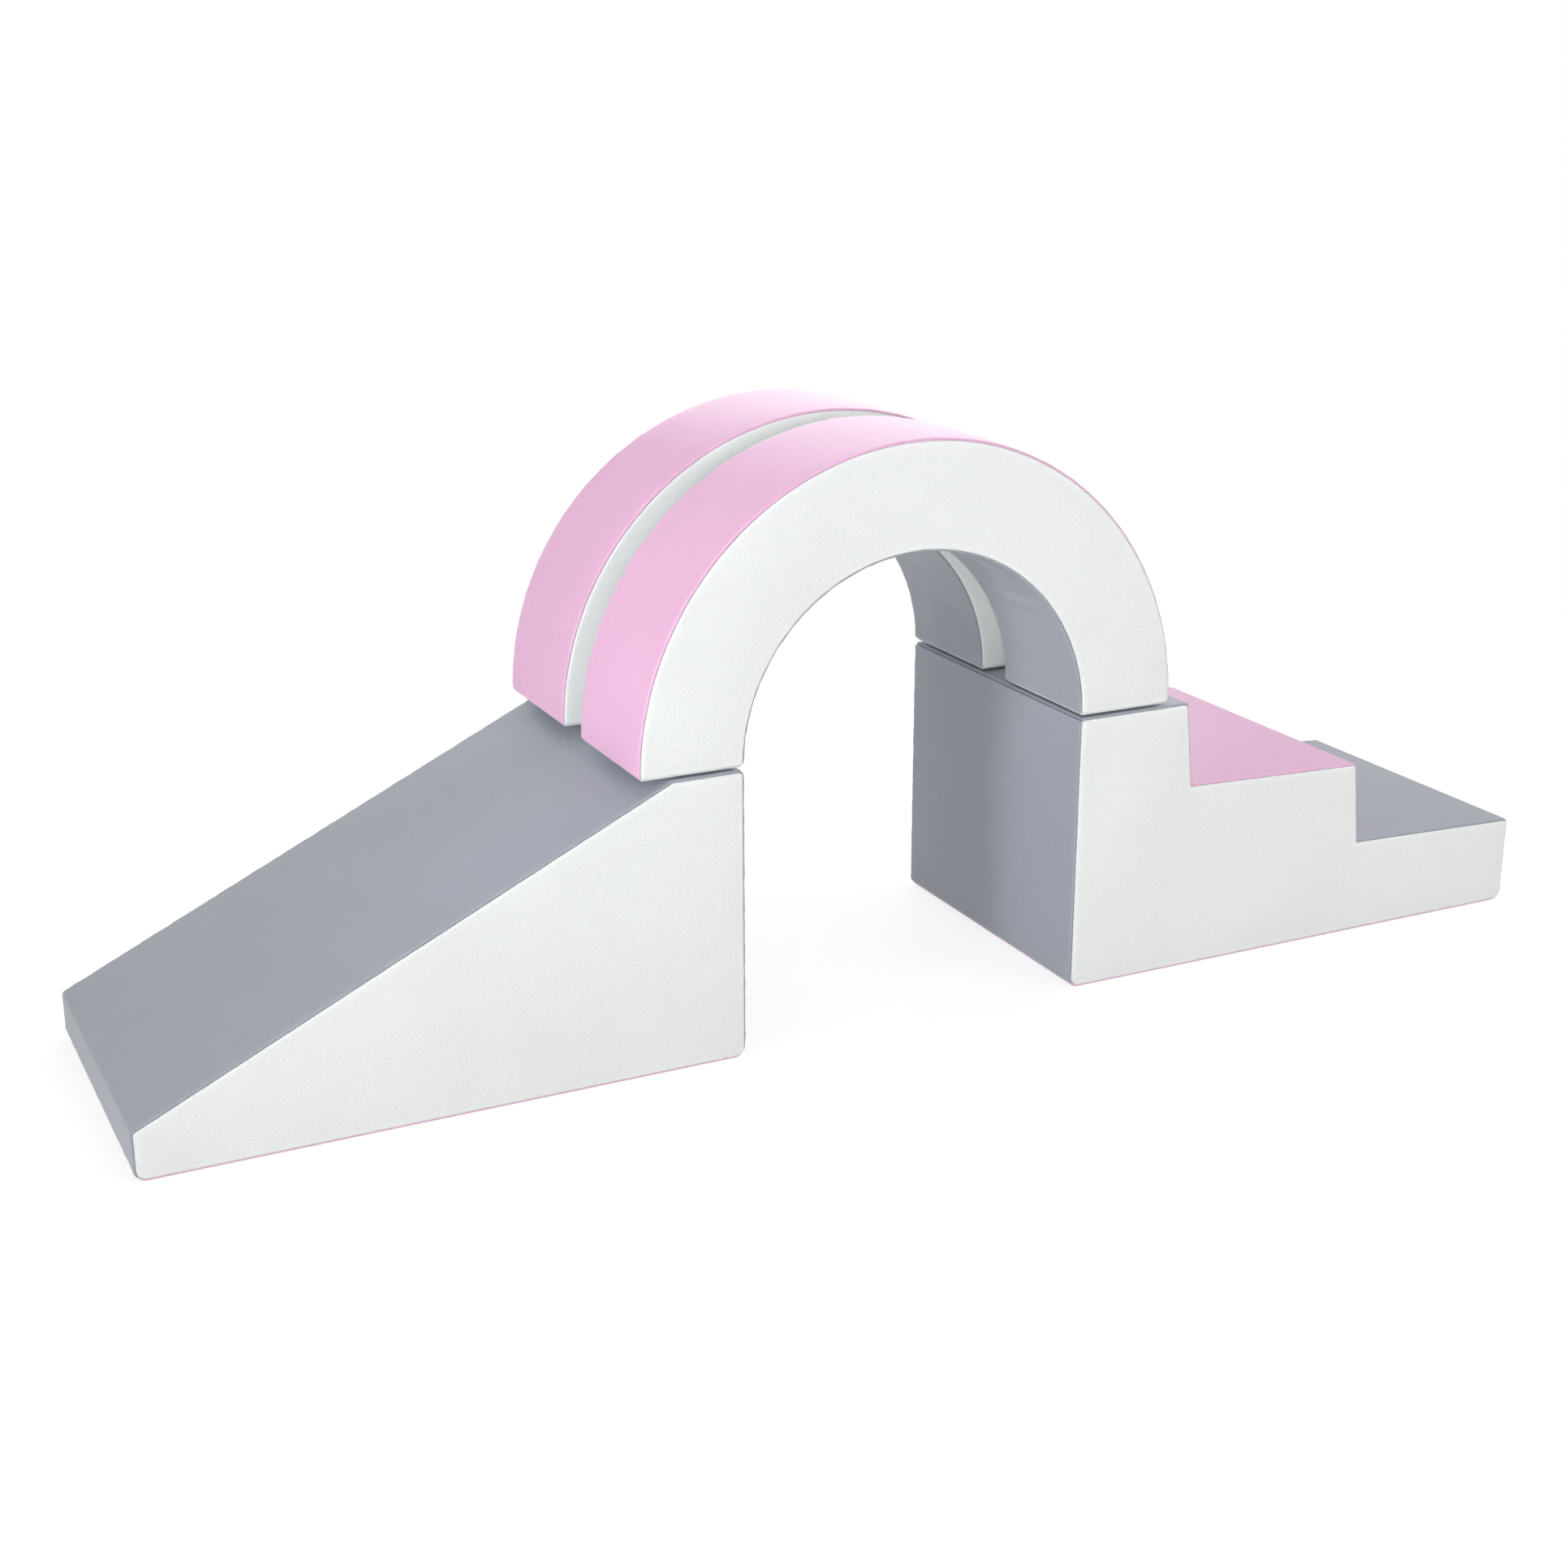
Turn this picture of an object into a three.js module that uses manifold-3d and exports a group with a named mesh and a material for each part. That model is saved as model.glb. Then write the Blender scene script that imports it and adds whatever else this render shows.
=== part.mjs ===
// Soft-play set of four foam blocks: a slide and a flight of stairs, bridged by two half-ring arches.
// Each block is a cut foam core in a sewn leatherette cover, with a sunken zip and hook-and-loop pads.
// Millimetres. +X runs from the slide to the stairs, +Y to the back and +Z up. The origin is on the floor,
// midway between the two base blocks and midway through their depth.
import * as THREE from "three";
import { mergeVertices } from "three/addons/utils/BufferGeometryUtils.js";
import Module from "manifold-3d";

const wasm = await Module();
wasm.setup();

// Base blocks
const BLOCK_HEIGHT = 300;
const BLOCK_LENGTH = 600;
const BLOCK_DEPTH = 350;

// Slide
const TOE_HEIGHT = 50;
const PLATFORM_LENGTH = 75;

// Stairs: equal rises, a top tread of its own length, and lower treads that share what is left
const STEP_COUNT = 3;
const TOP_TREAD = 136;

// Arches: two alike, side by side, with their outer faces flush with the blocks' sides
const ARCH_RADIUS = 300;
const ARCH_WALL = 110;
const ARCH_GAP = 46;

// Soft corners of the foam. Folds and feet are a little rounder than the rims that run into them.
const EDGE_RADIUS = 5;
const FOLD_EXTRA = 1;
const FOOT_EXTRA = 0.5;
const BASE_RADIUS = 12;

// Cover: sheet thickness, slack over the foam, and the slit left between two panels at a seam
const SHEET = 1;
const SLACK = 0.3;
const SEAM_GAP = 0.3;

// Hook-and-loop pads
const LOOP_THICKNESS = 1.2;
const HOOK_THICKNESS = 1.2;
const PAD_GAP = 0.3;
const PAD_LENGTH = 50;
const PAD_EDGE_INSET = 12;
const PAD_SIDE_INSET = 20;

// Zip, sunk in a channel that its tape lines like a tray
const CHANNEL_WIDTH = 30;
const CHANNEL_DEPTH = 8.5;
const TAPE = 0.6;
const BLOCK_ZIP_LENGTH = 480;
const ARCH_ZIP_START = 12;
const ARCH_ZIP_LENGTH = 250;
const COIL_WIDTH = 6;
const COIL_THICKNESS = 2;
const ZIP_CLEARANCE = 0.4;
const COIL_END = 8;

// Zip slider and its pull tab
const SLIDER_LENGTH = 12;
const SLIDER_NOSE_WIDTH = 11;
const SLIDER_PLATE = 1.2;
const SLIDER_FLANGE = 1.1;
const BRIDGE_LENGTH = 8.4;
const BRIDGE_WIDTH = 2;
const BRIDGE_WIRE = 1.2;
const PULL_THICKNESS = 1.2;
const PULL_LENGTH = 24;
const PULL_WIDTH = 7;
const PULL_EYE_HOLE = 3;
const SLIDER_END_GAP = 2;

// How finely round shapes are cut, and how far a cutter runs past what it cuts
const ARC_TOLERANCE = 0.25;
const ZIP_ARC_TOLERANCE = 0.05;
const CORNER_STEPS = 4;
const OVERRUN = 5;

// Derived sizes
const FOLD_RADIUS = EDGE_RADIUS + FOLD_EXTRA;
const FOOT_RADIUS = EDGE_RADIUS + FOOT_EXTRA;
const ARCH_INNER = ARCH_RADIUS - ARCH_WALL;
const ARCH_DEPTH = (BLOCK_DEPTH - ARCH_GAP) / 2;
const ARCH_BASE = BLOCK_HEIGHT + LOOP_THICKNESS + PAD_GAP + HOOK_THICKNESS;
const SEAM_ANGLE = Math.PI / 4;
const RIGHT_ANGLE = Math.PI / 2;

const COLOURS = {
  white: 0xeff1f0,
  grey: 0xa4a8b1,
  pink: 0xecbedd,
  foam: 0xe9e4d2,
  pad: 0xd9dbda,
  tape: 0xd4d6d6,
  coil: 0xc6c8c9,
  metal: 0xb9bbbd,
};

function finish(colour, roughness, metalness = 0) {
  return new THREE.MeshStandardMaterial({ color: colour, roughness, metalness });
}

const FINISHES = {
  white: finish(COLOURS.white, 0.5),
  grey: finish(COLOURS.grey, 0.5),
  pink: finish(COLOURS.pink, 0.5),
  foam: finish(COLOURS.foam, 0.95),
  pad: finish(COLOURS.pad, 0.9),
  tape: finish(COLOURS.tape, 0.85),
  coil: finish(COLOURS.coil, 0.5),
  metal: finish(COLOURS.metal, 0.35, 1),
};

function named(name, geometry, material) {
  const mesh = new THREE.Mesh(geometry, material);
  mesh.name = name;
  return mesh;
}

// Solids for cutting and joining
function solidOf(geometry) {
  const bare = geometry.clone();
  bare.deleteAttribute("normal");
  bare.deleteAttribute("uv");
  const merged = mergeVertices(bare);
  return new wasm.Manifold(
    new wasm.Mesh({
      numProp: 3,
      vertProperties: new Float32Array(merged.attributes.position.array),
      triVerts: new Uint32Array(merged.index.array),
    }),
  );
}

function geometryOf(solid) {
  const mesh = solid.getMesh();
  const geometry = new THREE.BufferGeometry();
  geometry.setAttribute("position", new THREE.BufferAttribute(mesh.vertProperties, 3));
  geometry.setIndex(new THREE.BufferAttribute(mesh.triVerts, 1));
  geometry.computeVertexNormals();
  return geometry;
}

function cut(geometry, ...cutters) {
  return geometryOf(cutters.reduce((left, cutter) => left.subtract(solidOf(cutter)), solidOf(geometry)));
}

function join(...pieces) {
  return geometryOf(pieces.map(solidOf).reduce((sum, piece) => sum.add(piece)));
}

// A closed body through rings of points, all with as many points, capped at both ends by the contour
function loft(rings, contour) {
  const count = contour.length;
  const positions = rings.flat().flatMap((p) => [p.x, p.y, p.z]);
  const faces = [];
  for (let ring = 0; ring < rings.length - 1; ring++) {
    for (let i = 0; i < count; i++) {
      const next = (i + 1) % count;
      const [a, b] = [ring * count + i, ring * count + next];
      faces.push(a, a + count, b, b, a + count, b + count);
    }
  }
  const last = (rings.length - 1) * count;
  for (const [a, b, c] of THREE.ShapeUtils.triangulateShape(contour, [])) {
    faces.push(a, b, c, last + a, last + c, last + b);
  }
  const geometry = new THREE.BufferGeometry();
  geometry.setAttribute("position", new THREE.Float32BufferAttribute(positions, 3));
  geometry.setIndex(faces);
  geometry.computeVertexNormals();
  return geometry;
}

// Outlines lie in the XZ plane and run anticlockwise seen from the front. A point is { x, z, seam }.
function corner(x, z, radius = 0, seam = "") {
  return { x, z, radius, seam };
}

function roundedOutline(corners) {
  const points = [];
  corners.forEach((here, i) => {
    if (here.radius === 0) {
      points.push({ x: here.x, z: here.z, seam: here.seam });
      return;
    }
    const at = new THREE.Vector2(here.x, here.z);
    const [before, after] = [corners.at(i - 1), corners[(i + 1) % corners.length]];
    const back = new THREE.Vector2(before.x, before.z).sub(at).normalize();
    const ahead = new THREE.Vector2(after.x, after.z).sub(at).normalize();
    const half = back.angleTo(ahead) / 2;
    const centre = back.clone().add(ahead).setLength(here.radius / Math.sin(half)).add(at);
    const start = at.clone().addScaledVector(back, here.radius / Math.tan(half)).sub(centre);
    const turn = Math.PI - 2 * half;
    for (let step = 0; step <= CORNER_STEPS; step++) {
      const spoke = start.clone().rotateAround(new THREE.Vector2(), (turn * step) / CORNER_STEPS);
      const seam = 2 * step === CORNER_STEPS ? here.seam : "";
      points.push({ x: centre.x + spoke.x, z: centre.y + spoke.y, seam });
    }
  });
  return withNormals(points, true);
}

// Adds each point's outward normal, stretched so that moving along it shifts both its edges by the same
function withNormals(points, closed) {
  const edgeNormal = (from, to) => new THREE.Vector2(to.z - from.z, from.x - to.x).normalize();
  return points.map((point, i) => {
    const before = closed || i > 0 ? points.at(i - 1) : null;
    const after = closed || i < points.length - 1 ? points[(i + 1) % points.length] : null;
    const first = before ? edgeNormal(before, point) : edgeNormal(point, after);
    const second = after ? edgeNormal(point, after) : first;
    const out = first.clone().add(second).divideScalar(1 + first.dot(second));
    return { ...point, out };
  });
}

function moved(point, inset, y) {
  return new THREE.Vector3(point.x - inset * point.out.x, y, point.z - inset * point.out.y);
}

// The rounded rim between a side face and the band, from the face (angle 0) to the band (a right angle),
// and lift below the cover's outer surface
function rim(angle, lift) {
  const radius = EDGE_RADIUS - lift;
  return { inset: lift + radius * (1 - Math.sin(angle)), depth: lift + radius * (1 - Math.cos(angle)) };
}

const SEAM_TURN = SEAM_GAP / 2 / EDGE_RADIUS;

// The foam inside one cover
function foamCore(outline, depth) {
  const lift = SHEET + SLACK;
  const rims = [rim(0, lift), rim(SEAM_ANGLE, lift), rim(RIGHT_ANGLE, lift)];
  const front = rims.map((r) => outline.map((p) => moved(p, r.inset, r.depth - depth / 2)));
  const back = rims.map((r) => outline.map((p) => moved(p, r.inset, depth / 2 - r.depth))).reverse();
  return loft([...front, ...back], outline.map((p) => new THREE.Vector2(p.x, p.z)));
}

// A flat side of a cover, turned in at its rim. Side is -1 at the front and 1 at the back.
function sidePanel(outline, depth, side) {
  const edge = SEAM_ANGLE - SEAM_TURN;
  const rims = [rim(0, 0), rim(edge, 0), rim(edge, SHEET), rim(0, SHEET)];
  const rings = rims.map((r) => outline.map((p) => moved(p, r.inset, side * (depth / 2 - r.depth))));
  if (side > 0) rings.reverse();
  return loft(rings, outline.map((p) => new THREE.Vector2(p.x, p.z)));
}

// The stretch of outline between two seams, with its ends drawn back by half a seam gap
function stretch(outline, fromSeam, toSeam) {
  const from = outline.findIndex((p) => p.seam === fromSeam);
  const path = [outline[from]];
  for (let i = from + 1; path.at(-1).seam !== toSeam; i++) path.push(outline[i % outline.length]);
  const drawnBack = (end, inner) => {
    const along = new THREE.Vector2(inner.x - end.x, inner.z - end.z).setLength(SEAM_GAP / 2);
    return { ...end, x: end.x + along.x, z: end.z + along.y };
  };
  path[0] = drawnBack(path[0], path[1]);
  path[path.length - 1] = drawnBack(path.at(-1), path.at(-2));
  return path;
}

// A section of { inset, y } points swept along a path of points with normals
function sweep(path, section) {
  const rings = path.map((p) => section.map((s) => moved(p, s.inset, s.y)));
  return loft(rings, section.map((s) => new THREE.Vector2(s.inset, s.y)));
}

// A strip of the band round a cover, between two seams
function bandPanel(outline, depth, fromSeam, toSeam) {
  const edge = SEAM_ANGLE + SEAM_TURN;
  const front = (r) => ({ inset: r.inset, y: r.depth - depth / 2 });
  const back = (r) => ({ inset: r.inset, y: depth / 2 - r.depth });
  const section = [
    back(rim(edge, 0)),
    back(rim(RIGHT_ANGLE, 0)),
    front(rim(RIGHT_ANGLE, 0)),
    front(rim(edge, 0)),
    front(rim(edge, SHEET)),
    front(rim(RIGHT_ANGLE, SHEET)),
    back(rim(RIGHT_ANGLE, SHEET)),
    back(rim(edge, SHEET)),
  ];
  return sweep(stretch(outline, fromSeam, toSeam), section);
}

// A rectangle of a section: across its width, from one inset to a deeper one
function bar(width, outer, inner) {
  return [
    { inset: outer, y: width / 2 },
    { inset: outer, y: -width / 2 },
    { inset: inner, y: -width / 2 },
    { inset: inner, y: width / 2 },
  ];
}

const ZIP_FLOOR = CHANNEL_DEPTH + TAPE;
const COIL_TOP = CHANNEL_DEPTH - ZIP_CLEARANCE - COIL_THICKNESS;

// What is cut away for a zip: a slit in the sheet and a channel in the foam behind it
function zipSlit(path) {
  return sweep(path, bar(CHANNEL_WIDTH, -OVERRUN, SHEET + OVERRUN));
}

function zipChannel(path) {
  const side = TAPE + SLACK;
  return sweep(path, bar(CHANNEL_WIDTH + 2 * side, -OVERRUN, ZIP_FLOOR + SLACK));
}

// The zip's two fixed pieces. The tape lines its channel: it comes down from the sheet on both sides and
// crosses the floor, where the coil lies on it.
function zipTape(path) {
  const outer = CHANNEL_WIDTH / 2;
  const inside = outer - TAPE;
  return sweep(path, [
    { inset: 0, y: outer - SLACK },
    { inset: 0, y: inside - SLACK },
    { inset: CHANNEL_DEPTH, y: inside - SLACK },
    { inset: CHANNEL_DEPTH, y: SLACK - inside },
    { inset: 0, y: SLACK - inside },
    { inset: 0, y: SLACK - outer },
    { inset: ZIP_FLOOR, y: SLACK - outer },
    { inset: ZIP_FLOOR, y: outer - SLACK },
  ]);
}

function zipCoil(path) {
  return sweep(path, bar(COIL_WIDTH, COIL_TOP, CHANNEL_DEPTH - ZIP_CLEARANCE));
}

// The slider and the pull in their own frame: +X the way the slider runs to open, +Z out of the channel,
// and the origin on the channel's floor under the pull's hinge
const SLIDER_INSIDE = ZIP_CLEARANCE + COIL_THICKNESS + ZIP_CLEARANCE;
const SLIDER_TOP = SLIDER_INSIDE + SLIDER_PLATE;
const SLIDER_TAIL_WIDTH = COIL_WIDTH + 2 * (ZIP_CLEARANCE + SLIDER_FLANGE);
const HINGE_ROOM = PULL_THICKNESS / Math.SQRT2 + ZIP_CLEARANCE;
const HINGE_RISE = SLIDER_TOP + HINGE_ROOM;

function box(lengthX, widthY, fromZ, toZ, middleX = 0) {
  return new THREE.BoxGeometry(lengthX, widthY, toZ - fromZ).translate(middleX, 0, (fromZ + toZ) / 2);
}

function slab(shape, fromZ, toZ) {
  return new THREE.ExtrudeGeometry(shape, { depth: toZ - fromZ, bevelEnabled: false }).translate(0, 0, fromZ);
}

function zipSlider() {
  const [tail, nose] = [-SLIDER_LENGTH / 2, SLIDER_LENGTH / 2];
  const shoulder = nose - (SLIDER_NOSE_WIDTH - SLIDER_TAIL_WIDTH);
  const shape = new THREE.Shape([
    new THREE.Vector2(tail, -SLIDER_TAIL_WIDTH / 2),
    new THREE.Vector2(0, -SLIDER_TAIL_WIDTH / 2),
    new THREE.Vector2(shoulder, -SLIDER_NOSE_WIDTH / 2),
    new THREE.Vector2(nose, -SLIDER_NOSE_WIDTH / 2),
    new THREE.Vector2(nose, SLIDER_NOSE_WIDTH / 2),
    new THREE.Vector2(shoulder, SLIDER_NOSE_WIDTH / 2),
    new THREE.Vector2(0, SLIDER_TAIL_WIDTH / 2),
    new THREE.Vector2(tail, SLIDER_TAIL_WIDTH / 2),
  ]);
  const shell = slab(shape, ZIP_CLEARANCE, SLIDER_TOP);
  const tunnelWidth = COIL_WIDTH + 2 * ZIP_CLEARANCE;
  const tunnel = box(SLIDER_LENGTH + 2 * OVERRUN, tunnelWidth, -OVERRUN, SLIDER_INSIDE);
  const bridgeTop = HINGE_RISE + HINGE_ROOM + BRIDGE_WIRE;
  const bridge = box(BRIDGE_LENGTH, BRIDGE_WIDTH, SLIDER_TOP - SLIDER_PLATE / 2, bridgeTop);
  const eye = box(BRIDGE_LENGTH - 2 * BRIDGE_WIRE, BRIDGE_WIDTH + 2 * OVERRUN, SLIDER_TOP, bridgeTop - BRIDGE_WIRE);
  return join(cut(shell, tunnel), cut(bridge, eye));
}

// The pull hangs from the slider's bridge: its crossbar lies in the bridge's eye, and its arms pass outside
function zipPull() {
  const half = PULL_THICKNESS / 2;
  const reach = Math.hypot(BRIDGE_LENGTH / 2, HINGE_ROOM + BRIDGE_WIRE) + ZIP_CLEARANCE;
  const shape = new THREE.Shape();
  const round = PULL_WIDTH / 2;
  shape.moveTo(half, -round);
  shape.lineTo(half, round);
  shape.lineTo(round - PULL_LENGTH, round);
  shape.absarc(round - PULL_LENGTH, 0, round, RIGHT_ANGLE, 3 * RIGHT_ANGLE);
  shape.closePath();
  const window = new THREE.Path();
  const armGap = BRIDGE_WIDTH / 2 + ZIP_CLEARANCE;
  window.moveTo(-half, -armGap);
  window.lineTo(-reach, -armGap);
  window.lineTo(-reach, armGap);
  window.lineTo(-half, armGap);
  window.closePath();
  shape.holes.push(window);
  shape.holes.push(new THREE.Path().absarc(round - PULL_LENGTH, 0, PULL_EYE_HOLE / 2, 0, 4 * RIGHT_ANGLE));
  return new THREE.ExtrudeGeometry(shape, { depth: PULL_THICKNESS, bevelEnabled: false, curveSegments: 6 })
    .translate(0, 0, -half);
}

// The slider's place along a zip, as far from its closed end as keeps the slider and tab inside the channel
const SLIDER_START = COIL_END + SLIDER_END_GAP + PULL_LENGTH;

// Stands a part at a point of the XZ plane, with its own X and Z along the two directions given
function stood(part, at, along, out) {
  const across = new THREE.Vector3().crossVectors(out, along);
  part.quaternion.setFromRotationMatrix(new THREE.Matrix4().makeBasis(along, across, out));
  part.position.copy(at);
  return part;
}

// Slider and pull as a group whose frame is the slider's, with the pull tilted on its hinge
function zipRunner(name, tilt) {
  const runner = new THREE.Group();
  const pull = named(name + "_zip_pull", zipPull(), FINISHES.metal);
  pull.position.z = HINGE_RISE;
  pull.rotation.y = tilt;
  runner.add(named(name + "_zip_slider", zipSlider(), FINISHES.metal), pull);
  return runner;
}

// A straight zip in the underside of a block, closed at its start
function blockZip(name, startX, endX) {
  const towards = Math.sign(endX - startX);
  const ends = [Math.min(startX, endX), Math.max(startX, endX)];
  const path = (short) => withNormals(ends.map((x, i) => ({ x: x + (i ? -short : short), z: 0 })), false);
  const at = new THREE.Vector3(startX + towards * SLIDER_START, 0, CHANNEL_DEPTH);
  const down = new THREE.Vector3(0, 0, -1);
  return {
    cutters: { slit: zipSlit(path(0)), channel: zipChannel(path(-SLACK)) },
    meshes: [
      named(name + "_zip_tape", zipTape(path(SLACK)), FINISHES.tape),
      named(name + "_zip_coil", zipCoil(path(COIL_END)), FINISHES.coil),
      stood(zipRunner(name, 0), at, new THREE.Vector3(towards, 0, 0), down),
    ],
  };
}

// Points of an arc about the origin, in the XZ plane, between two angles
function arc(radius, from, to, tolerance = ARC_TOLERANCE) {
  const step = 2 * Math.acos(1 - tolerance / radius);
  const count = Math.ceil(Math.abs(to - from) / step);
  return Array.from({ length: count + 1 }, (_, i) => {
    const angle = from + ((to - from) * i) / count;
    return { x: radius * Math.cos(angle), z: radius * Math.sin(angle), seam: "" };
  });
}

// A zip along the left half of an arch's inner face, closed at its foot
function archZip(name) {
  const angleAt = (length) => Math.PI - length / ARCH_INNER;
  const path = (short) => {
    const from = angleAt(ARCH_ZIP_START + short);
    const to = angleAt(ARCH_ZIP_START + ARCH_ZIP_LENGTH - short);
    return arc(ARCH_INNER, from, to, ZIP_ARC_TOLERANCE).map((p) => {
      const out = new THREE.Vector2(-p.x, -p.z).normalize();
      return { ...p, out };
    });
  };
  const angle = angleAt(ARCH_ZIP_START + SLIDER_START);
  const outwards = new THREE.Vector3(Math.cos(angle), 0, Math.sin(angle));
  const at = outwards.clone().multiplyScalar(ARCH_INNER + CHANNEL_DEPTH);
  const upTheArc = new THREE.Vector3(Math.sin(angle), 0, -Math.cos(angle));
  return {
    cutters: { slit: zipSlit(path(0)), channel: zipChannel(path(-SLACK)) },
    meshes: [
      named(name + "_zip_tape", zipTape(path(SLACK)), FINISHES.tape),
      named(name + "_zip_coil", zipCoil(path(COIL_END)), FINISHES.coil),
      stood(zipRunner(name, Math.PI - angle), at, upTheArc, outwards.clone().negate()),
    ],
  };
}

// A hook or loop pad under one arch foot, set in from the tunnel's edge. Side is -1 for the left feet.
function pad(side, fromZ, toZ, middleY) {
  const middleX = side * (PAD_EDGE_INSET + PAD_LENGTH / 2);
  return box(PAD_LENGTH, ARCH_DEPTH - 2 * PAD_SIDE_INSET, fromZ, toZ, middleX).translate(0, middleY, 0);
}

const ARCH_MIDDLES = { front: -(ARCH_GAP + ARCH_DEPTH) / 2, rear: (ARCH_GAP + ARCH_DEPTH) / 2 };

function loopPads(block, side) {
  return Object.entries(ARCH_MIDDLES).map(([place, middleY]) => {
    const geometry = pad(side, BLOCK_HEIGHT, BLOCK_HEIGHT + LOOP_THICKNESS, middleY);
    return named(block + "_" + place + "_loop_pad", geometry, FINISHES.pad);
  });
}

// Foam, cover and zip of one block. Each of the band's panels is { part, from, to, colour }, between two
// seams of the outline, and slitPanel names the one that is slit for the zip.
function coveredBlock(name, outline, depth, panels, zip, slitPanel) {
  const core = cut(foamCore(outline, depth), zip.cutters.channel);
  const block = new THREE.Group();
  block.add(
    named(name + "_foam_core", core, FINISHES.foam),
    named(name + "_front_panel", sidePanel(outline, depth, -1), FINISHES.white),
    named(name + "_rear_panel", sidePanel(outline, depth, 1), FINISHES.white),
  );
  for (const { part, from, to, colour } of panels) {
    const whole = bandPanel(outline, depth, from, to);
    const sheet = part === slitPanel ? cut(whole, zip.cutters.slit) : whole;
    block.add(named(name + "_" + part, sheet, FINISHES[colour]));
  }
  block.add(...zip.meshes);
  return block;
}

// Slide: its tunnel end stands at X zero of its own frame
function slide() {
  const outline = roundedOutline([
    corner(-BLOCK_LENGTH, 0, BASE_RADIUS, "toe"),
    corner(0, 0, BASE_RADIUS, "heel"),
    corner(0, BLOCK_HEIGHT, FOLD_RADIUS, "top"),
    corner(-PLATFORM_LENGTH, BLOCK_HEIGHT, FOLD_RADIUS),
    corner(-BLOCK_LENGTH, TOE_HEIGHT, FOLD_RADIUS),
  ]);
  const margin = (BLOCK_LENGTH - BLOCK_ZIP_LENGTH) / 2;
  const panels = [
    { part: "base_panel", from: "toe", to: "heel", colour: "pink" },
    { part: "tunnel_end_panel", from: "heel", to: "top", colour: "grey" },
    { part: "chute_panel", from: "top", to: "toe", colour: "grey" },
  ];
  const zip = blockZip("slide", -margin, margin - BLOCK_LENGTH);
  const block = coveredBlock("slide", outline, BLOCK_DEPTH, panels, zip, "base_panel");
  block.add(...loopPads("slide", -1));
  block.position.x = -ARCH_INNER;
  return block;
}

// Stairs: the tunnel end stands at X zero of its own frame, and the steps go down towards +X
function stairs() {
  const rise = BLOCK_HEIGHT / STEP_COUNT;
  const lowerTread = (BLOCK_LENGTH - TOP_TREAD) / (STEP_COUNT - 1);
  const nosing = (step) => TOP_TREAD + lowerTread * step;
  const corners = [corner(0, 0, BASE_RADIUS, "heel")];
  for (let step = STEP_COUNT - 1; step >= 0; step--) {
    const foot = step === STEP_COUNT - 1 ? BASE_RADIUS : 0;
    const top = BLOCK_HEIGHT - rise * step;
    corners.push(corner(nosing(step), top - rise, foot, "foot_" + step));
    corners.push(corner(nosing(step), top, FOLD_RADIUS));
  }
  corners.push(corner(0, BLOCK_HEIGHT, FOLD_RADIUS, "top"));
  const stepParts = ["top_step_panel", "middle_step_panel", "low_step_panel"];
  const panels = [
    { part: "base_panel", from: "heel", to: "foot_" + (STEP_COUNT - 1), colour: "pink" },
    { part: "tunnel_end_panel", from: "top", to: "heel", colour: "grey" },
  ];
  for (let step = 0; step < STEP_COUNT; step++) {
    const to = step === 0 ? "top" : "foot_" + (step - 1);
    const part = stepParts[step] ?? "step_" + step + "_panel";
    panels.push({ part, from: "foot_" + step, to, colour: step % 2 ? "pink" : "grey" });
  }
  const margin = (BLOCK_LENGTH - BLOCK_ZIP_LENGTH) / 2;
  const zip = blockZip("stairs", margin, BLOCK_LENGTH - margin);
  const block = coveredBlock("stairs", roundedOutline(corners), BLOCK_DEPTH, panels, zip, "base_panel");
  block.add(...loopPads("stairs", 1));
  block.position.x = ARCH_INNER;
  return block;
}

// Arch: a half ring about the origin of its own frame, which stands on its two feet
function arch(place) {
  const name = place + "_arch";
  const outer = arc(ARCH_RADIUS, 0, Math.PI).slice(1, -1);
  const inner = arc(ARCH_INNER, Math.PI, 0).slice(1, -1);
  const bare = (p) => corner(p.x, p.z);
  const outline = roundedOutline([
    corner(ARCH_INNER, 0, FOOT_RADIUS, "right_inner"),
    corner(ARCH_RADIUS, 0, FOOT_RADIUS, "right_outer"),
    ...outer.map(bare),
    corner(-ARCH_RADIUS, 0, FOOT_RADIUS, "left_outer"),
    corner(-ARCH_INNER, 0, FOOT_RADIUS, "left_inner"),
    ...inner.map(bare),
  ]);
  const panels = [
    { part: "right_foot_panel", from: "right_inner", to: "right_outer", colour: "white" },
    { part: "outer_panel", from: "right_outer", to: "left_outer", colour: "pink" },
    { part: "left_foot_panel", from: "left_outer", to: "left_inner", colour: "white" },
    { part: "inner_panel", from: "left_inner", to: "right_inner", colour: "grey" },
  ];
  const block = coveredBlock(name, outline, ARCH_DEPTH, panels, archZip(name), "inner_panel");
  for (const [end, side] of [["left", -1], ["right", 1]]) {
    const hook = pad(side, -HOOK_THICKNESS, 0, 0).translate(side * ARCH_INNER, 0, 0);
    block.add(named(name + "_" + end + "_hook_pad", hook, FINISHES.pad));
  }
  block.position.set(0, ARCH_MIDDLES[place], ARCH_BASE);
  return block;
}

const playBlock = new THREE.Group();
playBlock.add(slide(), stairs(), arch("front"), arch("rear"));

export default playBlock;
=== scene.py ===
import math
from contextlib import contextmanager
from types import SimpleNamespace

import bmesh
import bpy
import numpy as np
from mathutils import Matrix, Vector
from mathutils.geometry import delaunay_2d_cdt


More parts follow.
